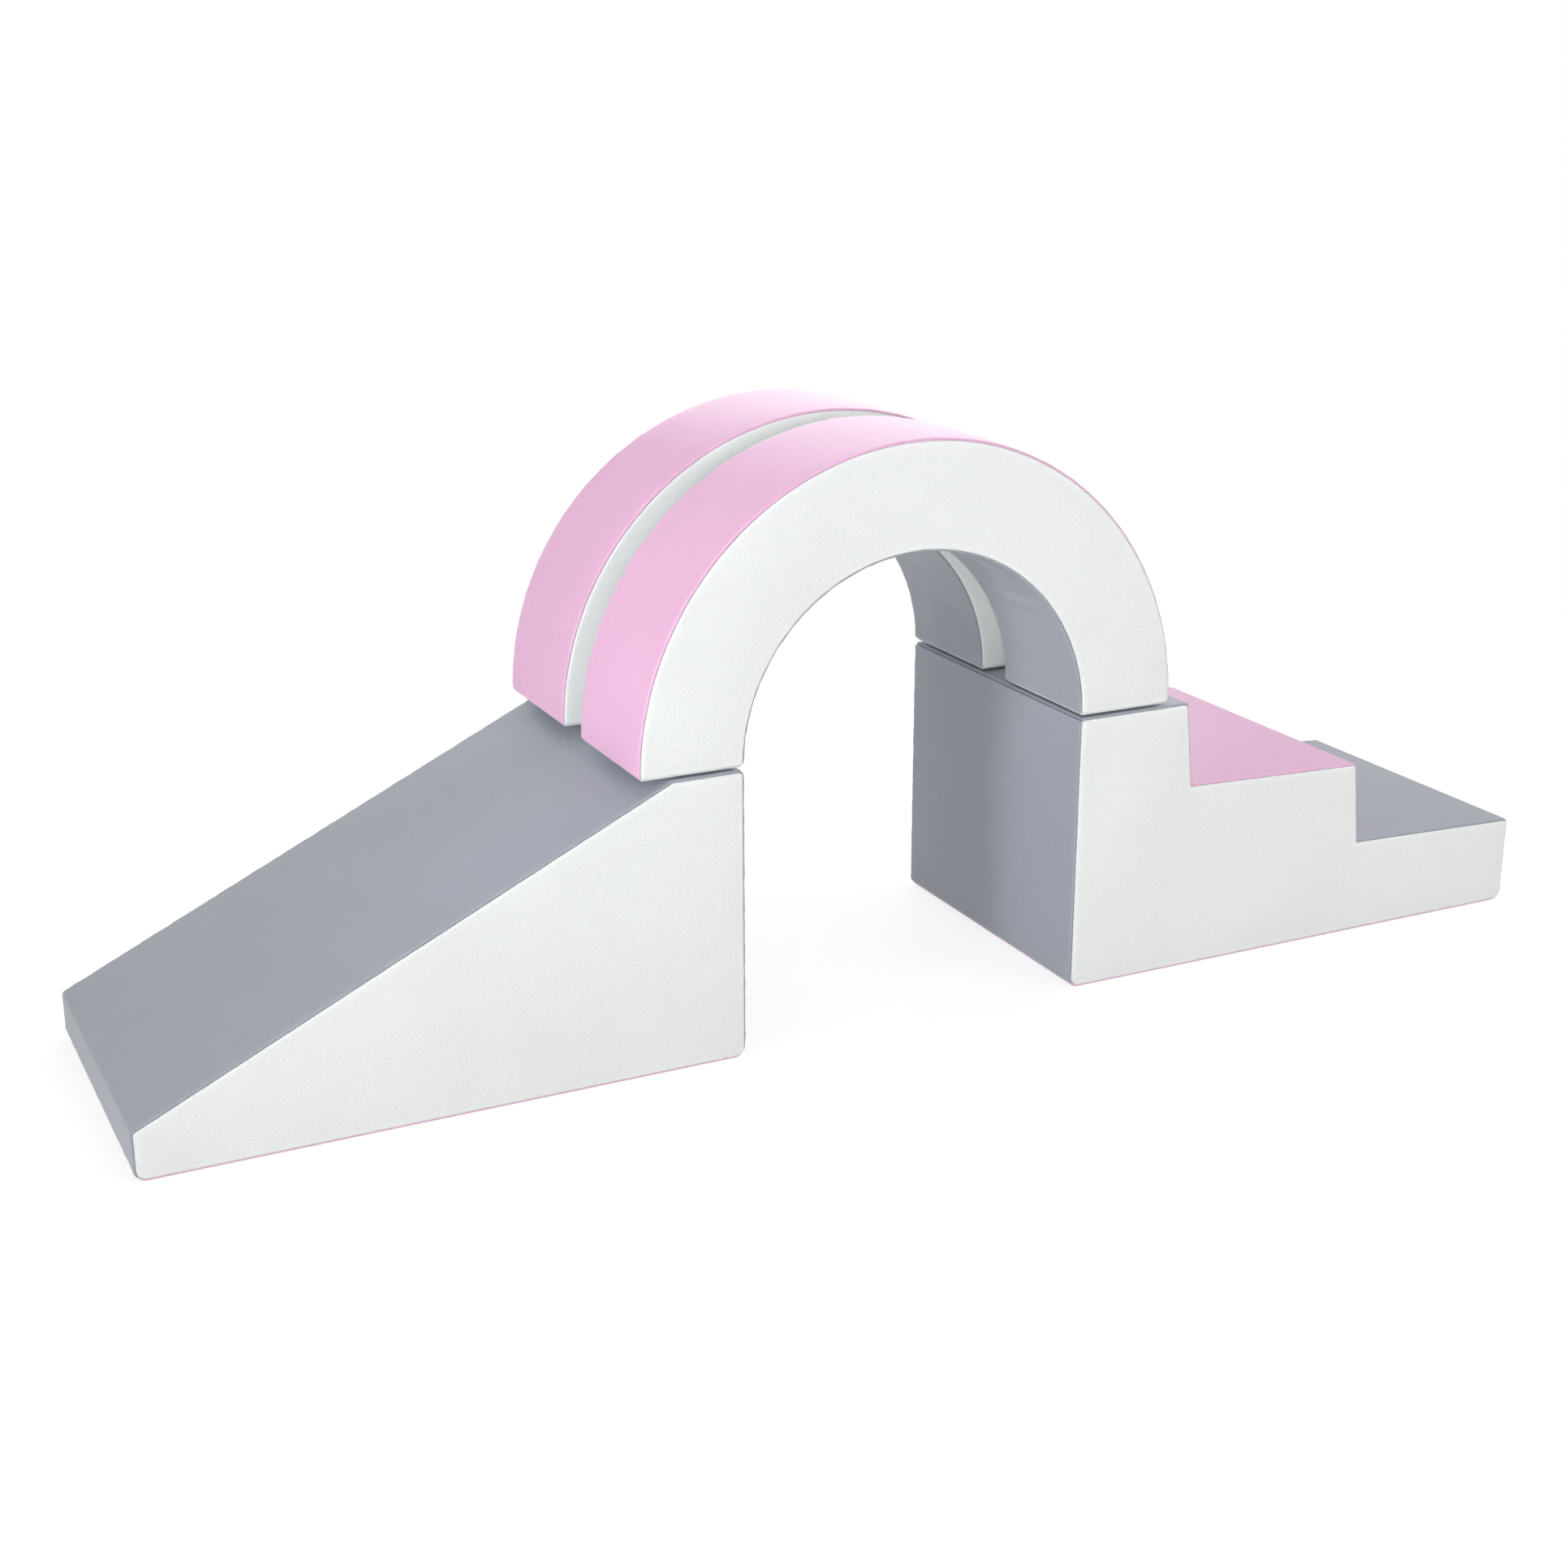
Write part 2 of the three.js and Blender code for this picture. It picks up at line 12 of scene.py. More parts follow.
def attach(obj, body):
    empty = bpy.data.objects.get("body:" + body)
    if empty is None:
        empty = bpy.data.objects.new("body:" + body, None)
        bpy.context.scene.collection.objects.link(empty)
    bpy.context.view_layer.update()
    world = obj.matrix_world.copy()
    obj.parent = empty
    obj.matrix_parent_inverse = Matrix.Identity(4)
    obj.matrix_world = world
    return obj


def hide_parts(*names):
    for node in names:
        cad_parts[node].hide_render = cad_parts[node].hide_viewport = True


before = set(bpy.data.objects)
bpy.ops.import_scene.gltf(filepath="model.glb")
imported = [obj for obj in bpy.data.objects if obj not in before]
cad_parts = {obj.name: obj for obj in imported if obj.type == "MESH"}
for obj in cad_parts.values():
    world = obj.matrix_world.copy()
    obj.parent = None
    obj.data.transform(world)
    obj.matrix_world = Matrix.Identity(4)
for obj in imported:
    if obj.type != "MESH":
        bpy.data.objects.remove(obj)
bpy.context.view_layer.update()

# Foam cores. Each of the four blocks is one piece of firm upholstery foam, sawn to shape with a hot wire.
# The seams of the cover press into its edges, and a channel is cut in it so that the zip lies below the
# surface.
MM = 0.001
BLOCK_HEIGHT, BLOCK_LENGTH, BLOCK_DEPTH = 300.0, 600.0, 350.0
TOE_HEIGHT, PLATFORM = 50.0, 75.0
RISE, TOP_TREAD, LOWER_TREAD = 100.0, 136.0, 232.0
ARCH_OUTER, ARCH_INNER = 300.0, 190.0
ARCH_DEPTH, ARCH_GAP, ARCH_BASE = 152.0, 46.0, 302.7
EDGE, FOLD, BASE_EDGE, FOOT_EDGE = 5.0, 6.0, 12.0, 5.5
SEAM_ANGLE, BASE_ANGLE, BASE_BLEND = math.radians(45), math.radians(38), 16.0
BRIDGE_OUT, BRIDGE_UP = 10.0, 8.0
CORNER_STEPS, SPACING, ZIP_SPACING = 12, 6.0, 3.0
FOAM_LIFT, PRESSED, SHOULDER = 1.3, 4.4, 2.9
SEAM_NOTCH, NOTCH_REACH = 2.6, 3.5
CHANNEL_HALF, CHANNEL_FLOOR, CHANNEL_PAST, CHANNEL_PROUD = 15.9, 9.4, 0.9, 8.0
ZIP_START, ZIP_LENGTH = 60.0, 480.0
ARCH_ZIP_START, ARCH_ZIP_LENGTH = 12.0, 250.0
FOAM_CREAM = "#e9e2cc"
CELL_MM = 1.6


def node(tree, kind, links=None, **settings):
    """Adds a node: links fills its inputs with values, with other nodes' outputs or with nodes, which stand
    for their first output, and settings are its own."""
    made = tree.nodes.new(kind)
    for key, value in settings.items():
        setattr(made, key, value)
    for key, value in (links or {}).items():
        value = value.outputs[0] if isinstance(value, bpy.types.Node) else value
        if isinstance(value, bpy.types.NodeSocket):
            tree.links.new(value, made.inputs[key])
        else:
            made.inputs[key].default_value = value
    return made


def linear(sheet_colour):
    """An sRGB hex colour as linear RGBA."""
    channels = [int(sheet_colour[i : i + 2], 16) / 255 for i in (1, 3, 5)]
    return [c / 12.92 if c <= 0.04045 else ((c + 0.055) / 1.055) ** 2.4 for c in channels] + [1.0]


def bare_tree(owner):
    """The emptied shader tree of a material or world."""
    owner.use_nodes = True
    owner.node_tree.nodes.clear()
    return owner.node_tree


def material_named(name):
    """An empty material, its tree, and the place on the object from which its patterns are worked out."""
    made = bpy.data.materials.new(name)
    tree = bare_tree(made)
    return made, tree, node(tree, "ShaderNodeTexCoord").outputs["Object"]


def tinted(tree, colour, *patterns):
    """A colour that patterns darken and lighten. Each is given with the colour's share at its two ends, and
    with those ends where they aren't 0 and 1."""
    shade = 1.0
    for pattern, low, high, *ends in patterns:
        start, end = ends or (0.0, 1.0)
        share = node(tree, "ShaderNodeMapRange", {
            "Value": pattern, "From Min": start, "From Max": end, "To Min": low, "To Max": high,
        })
        shade = node(tree, "ShaderNodeMath", {0: shade, 1: share}, operation="MULTIPLY")
    return node(tree, "ShaderNodeVectorMath", {0: linear(colour)[:3], "Scale": shade}, operation="SCALE")


def quads(rings, count):
    """The faces between closed rings of count points each, laid one after another."""
    return [
        (r * count + k, r * count + (k + 1) % count, (r + 1) * count + (k + 1) % count, (r + 1) * count + k)
        for r in range(rings - 1) for k in range(count)
    ]


def caps(rings, count):
    """The faces that close the first and the last of such rings."""
    first = tuple(range(count))
    return [first[::-1], tuple((rings - 1) * count + k for k in first)]


@contextmanager
def edited(mesh):
    """A mesh opened for editing, and written back at the end."""
    work = bmesh.new()
    work.from_mesh(mesh)
    yield work
    work.to_mesh(mesh)
    work.free()


def outline(corners):
    """The rounded outline of a block in the XZ plane, anticlockwise seen from the front, with a corner
    given as (x, z, radius, seam). out is each point's outward normal, stretched so that both its edges
    shift by as much."""
    rounded = []
    for i, (x, z, radius, seam) in enumerate(corners):
        at = np.array([x, z], float)
        if not radius:
            rounded.append((at, seam, bool(seam)))
            continue
        back, ahead = (np.subtract(c[:2], at) for c in (corners[i - 1], corners[(i + 1) % len(corners)]))
        back, ahead = back / np.linalg.norm(back), ahead / np.linalg.norm(ahead)
        half = math.acos(float(back @ ahead)) / 2
        middle = at + (back + ahead) / np.linalg.norm(back + ahead) * radius / math.sin(half)
        spoke = at + back * radius / math.tan(half) - middle
        for step in range(CORNER_STEPS + 1):
            turn = (math.pi - 2 * half) * step / CORNER_STEPS
            cos, sin = math.cos(turn), math.sin(turn)
            turned = [cos * spoke[0] - sin * spoke[1], sin * spoke[0] + cos * spoke[1]]
            rounded.append((middle + turned, seam if 2 * step == CORNER_STEPS else "", True))
    points, seams, folds = [], {}, []
    for (here, seam, fold), (there, _, _) in zip(rounded, rounded[1:] + rounded[:1]):
        if seam:
            seams[seam] = len(points)
        pieces = max(1, round(np.linalg.norm(there - here) / SPACING))
        points += [here + (there - here) * k / pieces for k in range(pieces)]
        folds += [fold] + [False] * (pieces - 1)
    points = np.array(points)
    edges = np.roll(points, -1, 0) - points
    lengths = np.linalg.norm(edges, axis=1)
    normals = np.stack([edges[:, 1], -edges[:, 0]], 1) / lengths[:, None]
    before = np.roll(normals, 1, 0)
    out = (before + normals) / (1 + (before * normals).sum(1))[:, None]
    along = np.concatenate([[0], np.cumsum(lengths)[:-1]])
    whole = lengths.sum()
    apart = np.abs(along[:, None] - along[np.array(folds)][None])
    to_fold = np.minimum(apart, whole - apart).min(1)
    turn = np.full(len(points), SEAM_ANGLE)
    return SimpleNamespace(
        points=points, out=out, seams=seams, along=along, to_fold=to_fold, whole=whole, turn=turn
    )


def lowered(shape, start, end):
    """Lets the seam beside a base panel run closer to the side face. turn is where the seam lies on the
    rounded edge: zero on the side face and a right angle on the band."""
    first = shape.along[shape.seams[start]]
    length = (shape.along[shape.seams[end]] - first) % shape.whole
    into = (shape.along - first) % shape.whole
    share = np.clip(np.minimum(into, length - into) / BASE_BLEND, 0, 1)
    shape.turn = SEAM_ANGLE + (BASE_ANGLE - SEAM_ANGLE) * share * share * (3 - 2 * share)
    return shape


def arc(radius, start, end):
    """Plain corners along an arc about the middle of an arch's base."""
    count = math.ceil(radius * abs(end - start) / SPACING)
    angles = np.linspace(start, end, count + 1)[2:-2]
    return [(radius * math.cos(a), ARCH_BASE + radius * math.sin(a), 0, "") for a in angles]


toe_x, nose_x = -ARCH_INNER - BLOCK_LENGTH, ARCH_INNER + BLOCK_LENGTH
slide_outline = lowered(outline([
    (toe_x, 0, BASE_EDGE, "toe"),
    (-ARCH_INNER, 0, BASE_EDGE, "heel"),
    (-ARCH_INNER, BLOCK_HEIGHT, FOLD, "top"),
    (-ARCH_INNER - PLATFORM, BLOCK_HEIGHT, FOLD, ""),
    (toe_x, TOE_HEIGHT, FOLD, ""),
]), "toe", "heel")
# The cover bridges the inner corners of the steps, so that they lie a little outside those of square steps.
stairs_outline = lowered(outline([
    (ARCH_INNER, 0, BASE_EDGE, "heel"),
    (nose_x, 0, BASE_EDGE, "foot_2"),
    (nose_x, RISE, FOLD, ""),
    (nose_x - LOWER_TREAD + BRIDGE_OUT, RISE + BRIDGE_UP, 0, "foot_1"),
    (nose_x - LOWER_TREAD, 2 * RISE, FOLD, ""),
    (ARCH_INNER + TOP_TREAD + BRIDGE_OUT, 2 * RISE + BRIDGE_UP, 0, "foot_0"),
    (ARCH_INNER + TOP_TREAD, BLOCK_HEIGHT, FOLD, ""),
    (ARCH_INNER, BLOCK_HEIGHT, FOLD, "top"),
]), "heel", "foot_2")
arch_outline = outline([
    (ARCH_INNER, ARCH_BASE, FOOT_EDGE, "right_inner"),
    (ARCH_OUTER, ARCH_BASE, FOOT_EDGE, "right_outer"),
    *arc(ARCH_OUTER, 0, math.pi),
    (-ARCH_OUTER, ARCH_BASE, FOOT_EDGE, "left_outer"),
    (-ARCH_INNER, ARCH_BASE, FOOT_EDGE, "left_inner"),
    *arc(ARCH_INNER, math.pi, 0),
])


def along_block(points):
    """How far points of a block's outline are from its tunnel end."""
    return np.abs(points[:, 0]) - ARCH_INNER


def along_arch(points):
    """How far points of an arch's inner face are from its left foot, along the arc."""
    return (math.pi - np.arctan2(points[:, 1] - ARCH_BASE, points[:, 0])) * ARCH_INNER


block_zip = SimpleNamespace(along=along_block, start=ZIP_START, end=ZIP_START + ZIP_LENGTH)
arch_zip = SimpleNamespace(along=along_arch, start=ARCH_ZIP_START, end=ARCH_ZIP_START + ARCH_ZIP_LENGTH)
arch_y = (ARCH_GAP + ARCH_DEPTH) / 2
blocks = {
    name: SimpleNamespace(body=body, shape=shape, depth=depth, y=y, zip=fastener)
    for name, body, shape, depth, y, fastener in (
        ("slide", "slide_block", slide_outline, BLOCK_DEPTH, 0.0, block_zip),
        ("stairs", "stairs_block", stairs_outline, BLOCK_DEPTH, 0.0, block_zip),
        ("front_arch", "front_arch", arch_outline, ARCH_DEPTH, -arch_y, arch_zip),
        ("rear_arch", "rear_arch", arch_outline, ARCH_DEPTH, arch_y, arch_zip),
    )
}


def zip_path(name, short=0.0):
    """Points along the middle of a block's zip, from its closed end, and the direction out of the channel."""
    block = blocks[name]
    start, end = block.zip.start + short, block.zip.end - short
    if block.zip is arch_zip:
        steps = math.ceil((end - start) / ZIP_SPACING)
        angles = math.pi - np.linspace(start, end, steps) / ARCH_INNER
        ring = np.stack([np.cos(angles), np.zeros_like(angles), np.sin(angles)], 1)
        return ring * ARCH_INNER + [0, block.y, ARCH_BASE], -ring
    side = -1 if name == "slide" else 1
    x = side * (ARCH_INNER + np.linspace(start, end, 81))
    points = np.stack([x, np.full_like(x, block.y), np.zeros_like(x)], 1)
    return points, np.tile([0.0, 0.0, -1.0], (len(x), 1))


def frame_along(points, out):
    """The directions ahead and across at each point of a path, from its outward directions."""
    ahead = np.gradient(points, axis=0)
    ahead /= np.linalg.norm(ahead, axis=1)[:, None]
    return ahead, np.cross(out, ahead)


def swept(points, out, section):
    """A closed body: a section of (across, up) swept along points whose outward direction is out, capped."""
    _, across = frame_along(points, out)
    a, u = np.array(section, float).T
    rings = points[:, None] + across[:, None] * a[None, :, None] + out[:, None] * u[None, :, None]
    size = (len(points), len(section))
    return rings.reshape(-1, 3), quads(*size) + caps(*size)


def mark(mesh, marks):
    """Adds point attributes, numbers or vectors, to a mesh."""
    for key, values in marks.items():
        values = np.asarray(values, np.float32)
        kind, field = ("FLOAT", "value") if values.ndim == 1 else ("FLOAT_VECTOR", "vector")
        mesh.attributes.new(key, kind, "POINT").data.foreach_set(field, values.ravel())


def plain_mesh(name, points, faces, marks=None, edges=()):
    """A mesh object at the origin from points in millimetres, with a point attribute for each of marks."""
    mesh = bpy.data.meshes.new(name)
    mesh.from_pydata((np.asarray(points) * MM).tolist(), edges, [tuple(int(i) for i in f) for f in faces])
    mark(mesh, marks or {})
    mesh.update()
    made = bpy.data.objects.new(name, mesh)
    bpy.context.scene.collection.objects.link(made)
    return made


def keep_outward(made):
    """Turns a closed mesh's faces outwards."""
    with edited(made.data) as work:
        bmesh.ops.recalc_face_normals(work, faces=work.faces)


def frozen(made):
    """Replaces an object's mesh by what its modifiers make of it."""
    bpy.context.view_layer.update()
    evaluated = made.evaluated_get(bpy.context.evaluated_depsgraph_get())
    result = bpy.data.meshes.new_from_object(evaluated)
    made.modifiers.clear()
    made.data = result


def cut_out(made, cutter_mesh):
    """Cuts the cutter's space out of a closed mesh."""
    cutter = plain_mesh("cutter", *cutter_mesh)
    keep_outward(cutter)
    cut = made.modifiers.new("cut", "BOOLEAN")
    cut.operation, cut.solver, cut.object = "DIFFERENCE", "EXACT", cutter
    frozen(made)
    bpy.data.objects.remove(cutter)


def foam_core(name, block):
    """A block's foam, with the cover's seams pressed into its edges and its zip's channel cut out."""
    shape = block.shape
    notch = np.zeros(len(shape.points))
    for index in shape.seams.values():
        apart = np.abs(shape.along - shape.along[index])
        apart = np.minimum(apart, shape.whole - apart)
        notch = np.maximum(notch, SEAM_NOTCH * np.exp(-((apart / NOTCH_REACH) ** 2)))
    low = (SEAM_ANGLE - shape.turn) / (SEAM_ANGLE - BASE_ANGLE)
    rim = [
        (EDGE + EDGE / 2 * low, FOAM_LIFT), ((EDGE + PRESSED) / 2, SHOULDER + low), (PRESSED, PRESSED),
        (SHOULDER, (EDGE + PRESSED) / 2), (FOAM_LIFT, EDGE),
    ]
    half = block.depth / 2
    rings = [(inset, depth - half) for inset, depth in rim]
    rings += [(inset, half - depth) for inset, depth in rim[::-1]]
    points = []
    for inset, y in rings:
        flat = shape.points - (inset + notch)[:, None] * shape.out
        points.append(np.stack([flat[:, 0], block.y + y + np.zeros(len(flat)), flat[:, 1]], 1))
    size = (len(rings), len(shape.points))
    faces = [face[::-1] for face in caps(*size) + quads(*size)]
    core = plain_mesh(name + "_foam", np.concatenate(points), faces)
    keep_outward(core)
    middle, out = zip_path(name, -CHANNEL_PAST)
    low, high = -CHANNEL_FLOOR, CHANNEL_PROUD
    channel = [(-CHANNEL_HALF, low), (CHANNEL_HALF, low), (CHANNEL_HALF, high), (-CHANNEL_HALF, high)]
    cut_out(core, swept(middle, out, channel))
    return core


# Open-cell polyurethane foam: cream, quite matt, with the pits of its cut cells.
foam, tree, place = material_named("polyurethane_foam")
cells = node(tree, "ShaderNodeTexVoronoi", {"Vector": place, "Scale": 1 / (CELL_MM * MM)}, feature="F1")
cloud = node(tree, "ShaderNodeTexNoise", {"Vector": place, "Scale": 14.0, "Detail": 3.0})
tint = tinted(tree, FOAM_CREAM, (cloud, 0.94, 1.0), (cells, 1.0, 0.86))
bump = node(tree, "ShaderNodeBump", {"Height": cells, "Strength": 0.7, "Distance": 0.4 * MM})
skin = node(tree, "ShaderNodeBsdfPrincipled", {"Base Color": tint, "Roughness": 0.95, "Normal": bump})
node(tree, "ShaderNodeOutputMaterial", {"Surface": skin})

for name, block in blocks.items():
    core = foam_core(name, block)
    core.data.materials.clear()
    core.data.materials.append(foam)
    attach(core, block.body)
    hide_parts(name + "_foam_core")

# Slide cover. Five panels of coated leatherette are cut flat and sewn inside out, so that each seam turns
# in and lies in a shallow valley. Pulled over the foam, the sheet crowns a little and puckers along its
# seams.
SHEET = 0.9
SEAM_GAP = 0.3
DIP, DIP_REACH, TUCK = 1.5, 3.0, 1.0
CROWN, CROWN_REACH = 0.9, 34.0
PUCKER, PUCKER_START, PUCKER_REACH = 0.5, 1.5, 12.0
PUCKER_LENGTHS = (13.0, 19.0, 29.0, 43.0)
WAVE, WAVE_REACH, WAVE_LENGTHS = 0.45, 20.0, (60.0, 95.0, 140.0, 210.0)
PAD_INSET, PAD_LENGTH, PAD_WIDTH = 12.0, 50.0, 112.0
PRESS_REACH = 16.0
VERTEX_MASS, SHEET_TENSION, SHEET_SHEAR, SHEET_BENDING = 0.01, 15.0, 5.0, 0.5
FOAM_PRESSURE, SETTLE_FRAMES, SETTLE_QUALITY, SETTLE_MOST = 3.0, 16, 3, 3.5
HELD_EDGE, HELD_FOLD = 6.0, 12.0
ROLL = [0.0, 0.25, 0.6, 1.05, 1.6, 2.3, 3.0, EDGE * SEAM_ANGLE - SEAM_GAP / 2]
FIRST_ROWS = [2.0, 4.5, 8.0, 13.0]
GRID_PITCH = 9.0
ROWS_APART, FILL_APART, HAIR = 0.12, 3.0, 1e-4
SLIT_HALF, SLIT_TUCK, SLIT_DIP, SLIT_REACH, SLIT_CLEAR = 15.0, 0.15, 1.0, 5.0, 1.5
PEBBLE_MM, CREASE_MM, WARP_MM = 1.9, 7.0, 1.2
WHITE, GREY, PINK = "#eff2f1", "#a3a8b3", "#efb9de"
THREAD_WHITE, THREAD_TWIST_MM = "#e4e5e1", 0.6
THREAD_DEPTH, CROSS_SPOTS, CROSS_SHORT = 1.1, 24, 1.0
SEAM_STITCH = {"Pitch": 5.0, "Length": 1.2, "Rise": 0.3, "Thickness": 0.45}
LIP = [-SLIT_TUCK, 0.0, 0.3, 0.7, 1.2, 2.0, 3.2, SLIT_REACH]
GAP_ANGLE = SEAM_GAP / 2 / EDGE


def valley(distance, depth=DIP, reach=DIP_REACH):
    """How deep a sheet lies below its own level, at a distance from the seam that it rolls into."""
    share = np.clip(distance / reach, 0, 1)
    return depth * (1 - np.sqrt(1 - (1 - share) ** 2))


def waves(position, lengths, seed):
    """A smooth wander about zero along one or more axes, the same for the same seed."""
    dice = np.random.default_rng(seed)
    position = np.atleast_2d(np.asarray(position, float).T).T
    total = np.zeros(len(position))
    for length in lengths:
        heading = dice.normal(size=position.shape[1])
        heading *= 2 * math.pi / length / np.linalg.norm(heading)
        total += np.sin(position @ heading + dice.uniform(0, 2 * math.pi))
    return total / len(lengths)


def puckers(along, away, seed):
    """The small ripples that a seam's thread draws across the sheet beside it."""
    ripple = waves(np.ravel(along), PUCKER_LENGTHS, seed).reshape(np.shape(along))
    return PUCKER * ripple * np.exp(-away / PUCKER_REACH) * np.clip(away / PUCKER_START, 0, 1)


def to_outline(shape, spots):
    """Each spot's distance to an outline, how far along the outline that is, and whether it lies inside."""
    a, b = shape.points, np.roll(shape.points, -1, 0)
    edge = b - a
    away = spots[:, None] - a[None]
    t = np.clip((away * edge[None]).sum(2) / (edge**2).sum(1)[None], 0, 1)
    gap = np.linalg.norm(away - t[..., None] * edge[None], axis=2)
    nearest = gap.argmin(1)
    rows = np.arange(len(spots))
    along = shape.along[nearest] + t[rows, nearest] * np.linalg.norm(edge[nearest], axis=1)
    x, z = spots[:, :1], spots[:, 1:]
    spans = (a[None, :, 1] > z) != (b[None, :, 1] > z)
    with np.errstate(divide="ignore", invalid="ignore"):
        crossing = a[None, :, 0] + (z - a[None, :, 1]) * (b - a)[None, :, 0] / (b - a)[None, :, 1]
    inside = (spans & (x < crossing)).sum(1) % 2 == 1
    return gap[rows, nearest], along, inside


def flat_fill(shape):
    """Points and triangles of the flat inside an outline's rim. The rim's own ring of points comes first."""
    ring = shape.points - EDGE * shape.out
    found = [ring]
    for offset in FIRST_ROWS:
        row = shape.points - (EDGE + offset) * shape.out
        gap, _, inside = to_outline(shape, row)
        found.append(row[inside & (gap > 0.97 * (EDGE + offset))])
    low, high = shape.points.min(0), shape.points.max(0)
    xs = np.arange(low[0], high[0], GRID_PITCH)
    zs = np.arange(low[1], high[1], GRID_PITCH * math.sqrt(0.75))
    grid = np.array([(x + (k % 2) * GRID_PITCH / 2, z) for k, z in enumerate(zs) for x in xs])
    gap, _, inside = to_outline(shape, grid)
    found.append(grid[inside & (gap > EDGE + FIRST_ROWS[-1] + 0.5 * GRID_PITCH)])
    kept = list(ring)
    for level, spots in enumerate(found[1:]):
        least = min(FILL_APART + level, 0.5 * GRID_PITCH)
        for spot in spots:
            if np.square(np.array(kept) - spot).sum(1).min() > least**2:
                kept.append(spot)
    spots = [Vector(p) for p in kept]
    corners, _, triangles, *_ = delaunay_2d_cdt(spots, [], [list(range(len(ring)))], 1, HAIR)
    flat = np.array([tuple(c) for c in corners])
    gap, along, _ = to_outline(shape, flat)
    return SimpleNamespace(flat=flat, triangles=triangles, gap=gap, along=along, ring=len(ring))


def rim_place(angle, dip):
    """Inset and depth of a point of the rounded rim: angle 0 is on the side face and a right angle on the
    band."""
    radius = EDGE - dip
    return EDGE - radius * np.sin(angle), EDGE - radius * np.cos(angle)


def side_cover(name, block, side, seed):
    """A flat side of a cover: the rim's roll into the seam, ring by ring, and the crowned flat inside it."""
    shape, fill = block.shape, block.fill
    points, seam, rim = [], [], []
    span = EDGE * shape.turn - SEAM_GAP / 2
    for k, mark in enumerate([0.0] + ROLL[:-1]):
        away = mark / ROLL[-1] * span
        dip = DIP + TUCK if k == 0 else valley(away)
        lift = CROWN * (1 - np.exp(-away / CROWN_REACH)) + puckers(shape.along, away, seed)
        inset, depth = rim_place(shape.turn - GAP_ANGLE - away / EDGE, dip - lift)
        flat = shape.points - inset[:, None] * shape.out
        points.append(np.stack([flat[:, 0], side * (block.depth / 2 - depth), flat[:, 1]], 1))
        # seam is how deep each ring lies in the seam's valley; the leatherette darkens it there as painted
        # shade.
        seam.append(np.minimum((dip + 0 * away) / DIP, 1))
        rim.append(away)
    away = np.interp(fill.along, shape.along, span, period=shape.whole) + fill.gap - EDGE
    away[: fill.ring] = span
    lift = CROWN * (1 - np.exp(-away / CROWN_REACH)) + puckers(fill.along, away, seed) - valley(away)
    lift += WAVE * waves(fill.flat, WAVE_LENGTHS, seed + 1) * (1 - np.exp(-away / WAVE_REACH))
    points.append(np.stack([fill.flat[:, 0], side * (block.depth / 2 + lift), fill.flat[:, 1]], 1))
    seam.append(valley(away) / DIP)
    rim.append(away)
    count = len(shape.points)
    faces = quads(len(ROLL) + 1, count)
    faces += [[len(ROLL) * count + k for k in triangle] for triangle in fill.triangles]
    if side > 0:
        faces = [f[::-1] for f in faces]
    points, rim = np.concatenate(points) + [0, block.y, 0], np.concatenate(rim)
    made = plain_mesh(name, points, faces, {"seam": np.concatenate(seam), "rim": rim})
    settle(made, np.where(rim < HELD_EDGE, 1.0, 0.0))
    return made


def stations(shape, start, end, zip_slit):
    """Where a band panel's rows go, from one seam to another: each row's point, normal, distance to the
    nearest fold, distance to the nearer end, and the shift that rolls it into that end's seam."""
    first, last, count = shape.seams[start], shape.seams[end], len(shape.points)
    picked = [(first + k) % count for k in range((last - first) % count + 1)]
    points, out, to_fold = shape.points[picked], shape.out[picked], shape.to_fold[picked]
    own = np.concatenate([[0], np.cumsum(np.linalg.norm(np.diff(points, axis=0), axis=1))])
    low, high = SEAM_GAP / 2, own[-1] - SEAM_GAP / 2
    wanted = np.concatenate([own[(own > low) & (own < high)], low + np.array(ROLL), high - np.array(ROLL)])
    kept, slits = [], 0
    if zip_slit:
        reach = zip_slit.along(points)
        order = np.argsort(reach)
        ends = [zip_slit.start - o for o in LIP] + [zip_slit.end + o for o in LIP]
        kept = list(np.interp(ends, reach[order], own[order]))
        slits = len(kept)
    for s in sorted(wanted, key=lambda s: min(s - low, high - s)):
        least = [SLIT_CLEAR] * slits + [ROWS_APART] * (len(kept) - slits)
        if all(abs(s - other) > apart for other, apart in zip(kept, least)):
            kept.append(s)
    kept = np.sort(kept)

    def value(column):
        return np.interp(kept, own, column)

    at = np.stack([value(points[:, 0]), value(points[:, 1])], 1)
    normal = np.stack([value(out[:, 0]), value(out[:, 1])], 1)
    from_start, from_end = kept - low, high - kept
    nearer = np.minimum(from_start, from_end)
    mitres = np.where((from_start < from_end)[:, None], out[0], out[-1])
    mitres /= np.linalg.norm(mitres, axis=1)[:, None]
    row = SimpleNamespace(
        at=at, normal=normal, mitre=mitres, along=kept, away=nearer, dip=valley(nearer),
        fold=value(to_fold), turn=value(shape.turn[picked]),
    )
    for field, values in vars(row).items():
        setattr(row, field, np.concatenate([values[:1], values, values[-1:]]))
    row.dip[[0, -1]] = DIP + TUCK
    return row


def beside_pads(at, across):
    """How far the points of a band, rows by columns, are from the nearest patch."""
    beside_x = np.abs(np.abs(at[:, 0]) - ARCH_INNER - (PAD_INSET + PAD_LENGTH / 2)) - PAD_LENGTH / 2
    beside_y = np.abs(np.abs(across) - arch_y) - PAD_WIDTH / 2
    return np.hypot(np.maximum(beside_x, 0)[:, None], np.maximum(beside_y, 0)[None])


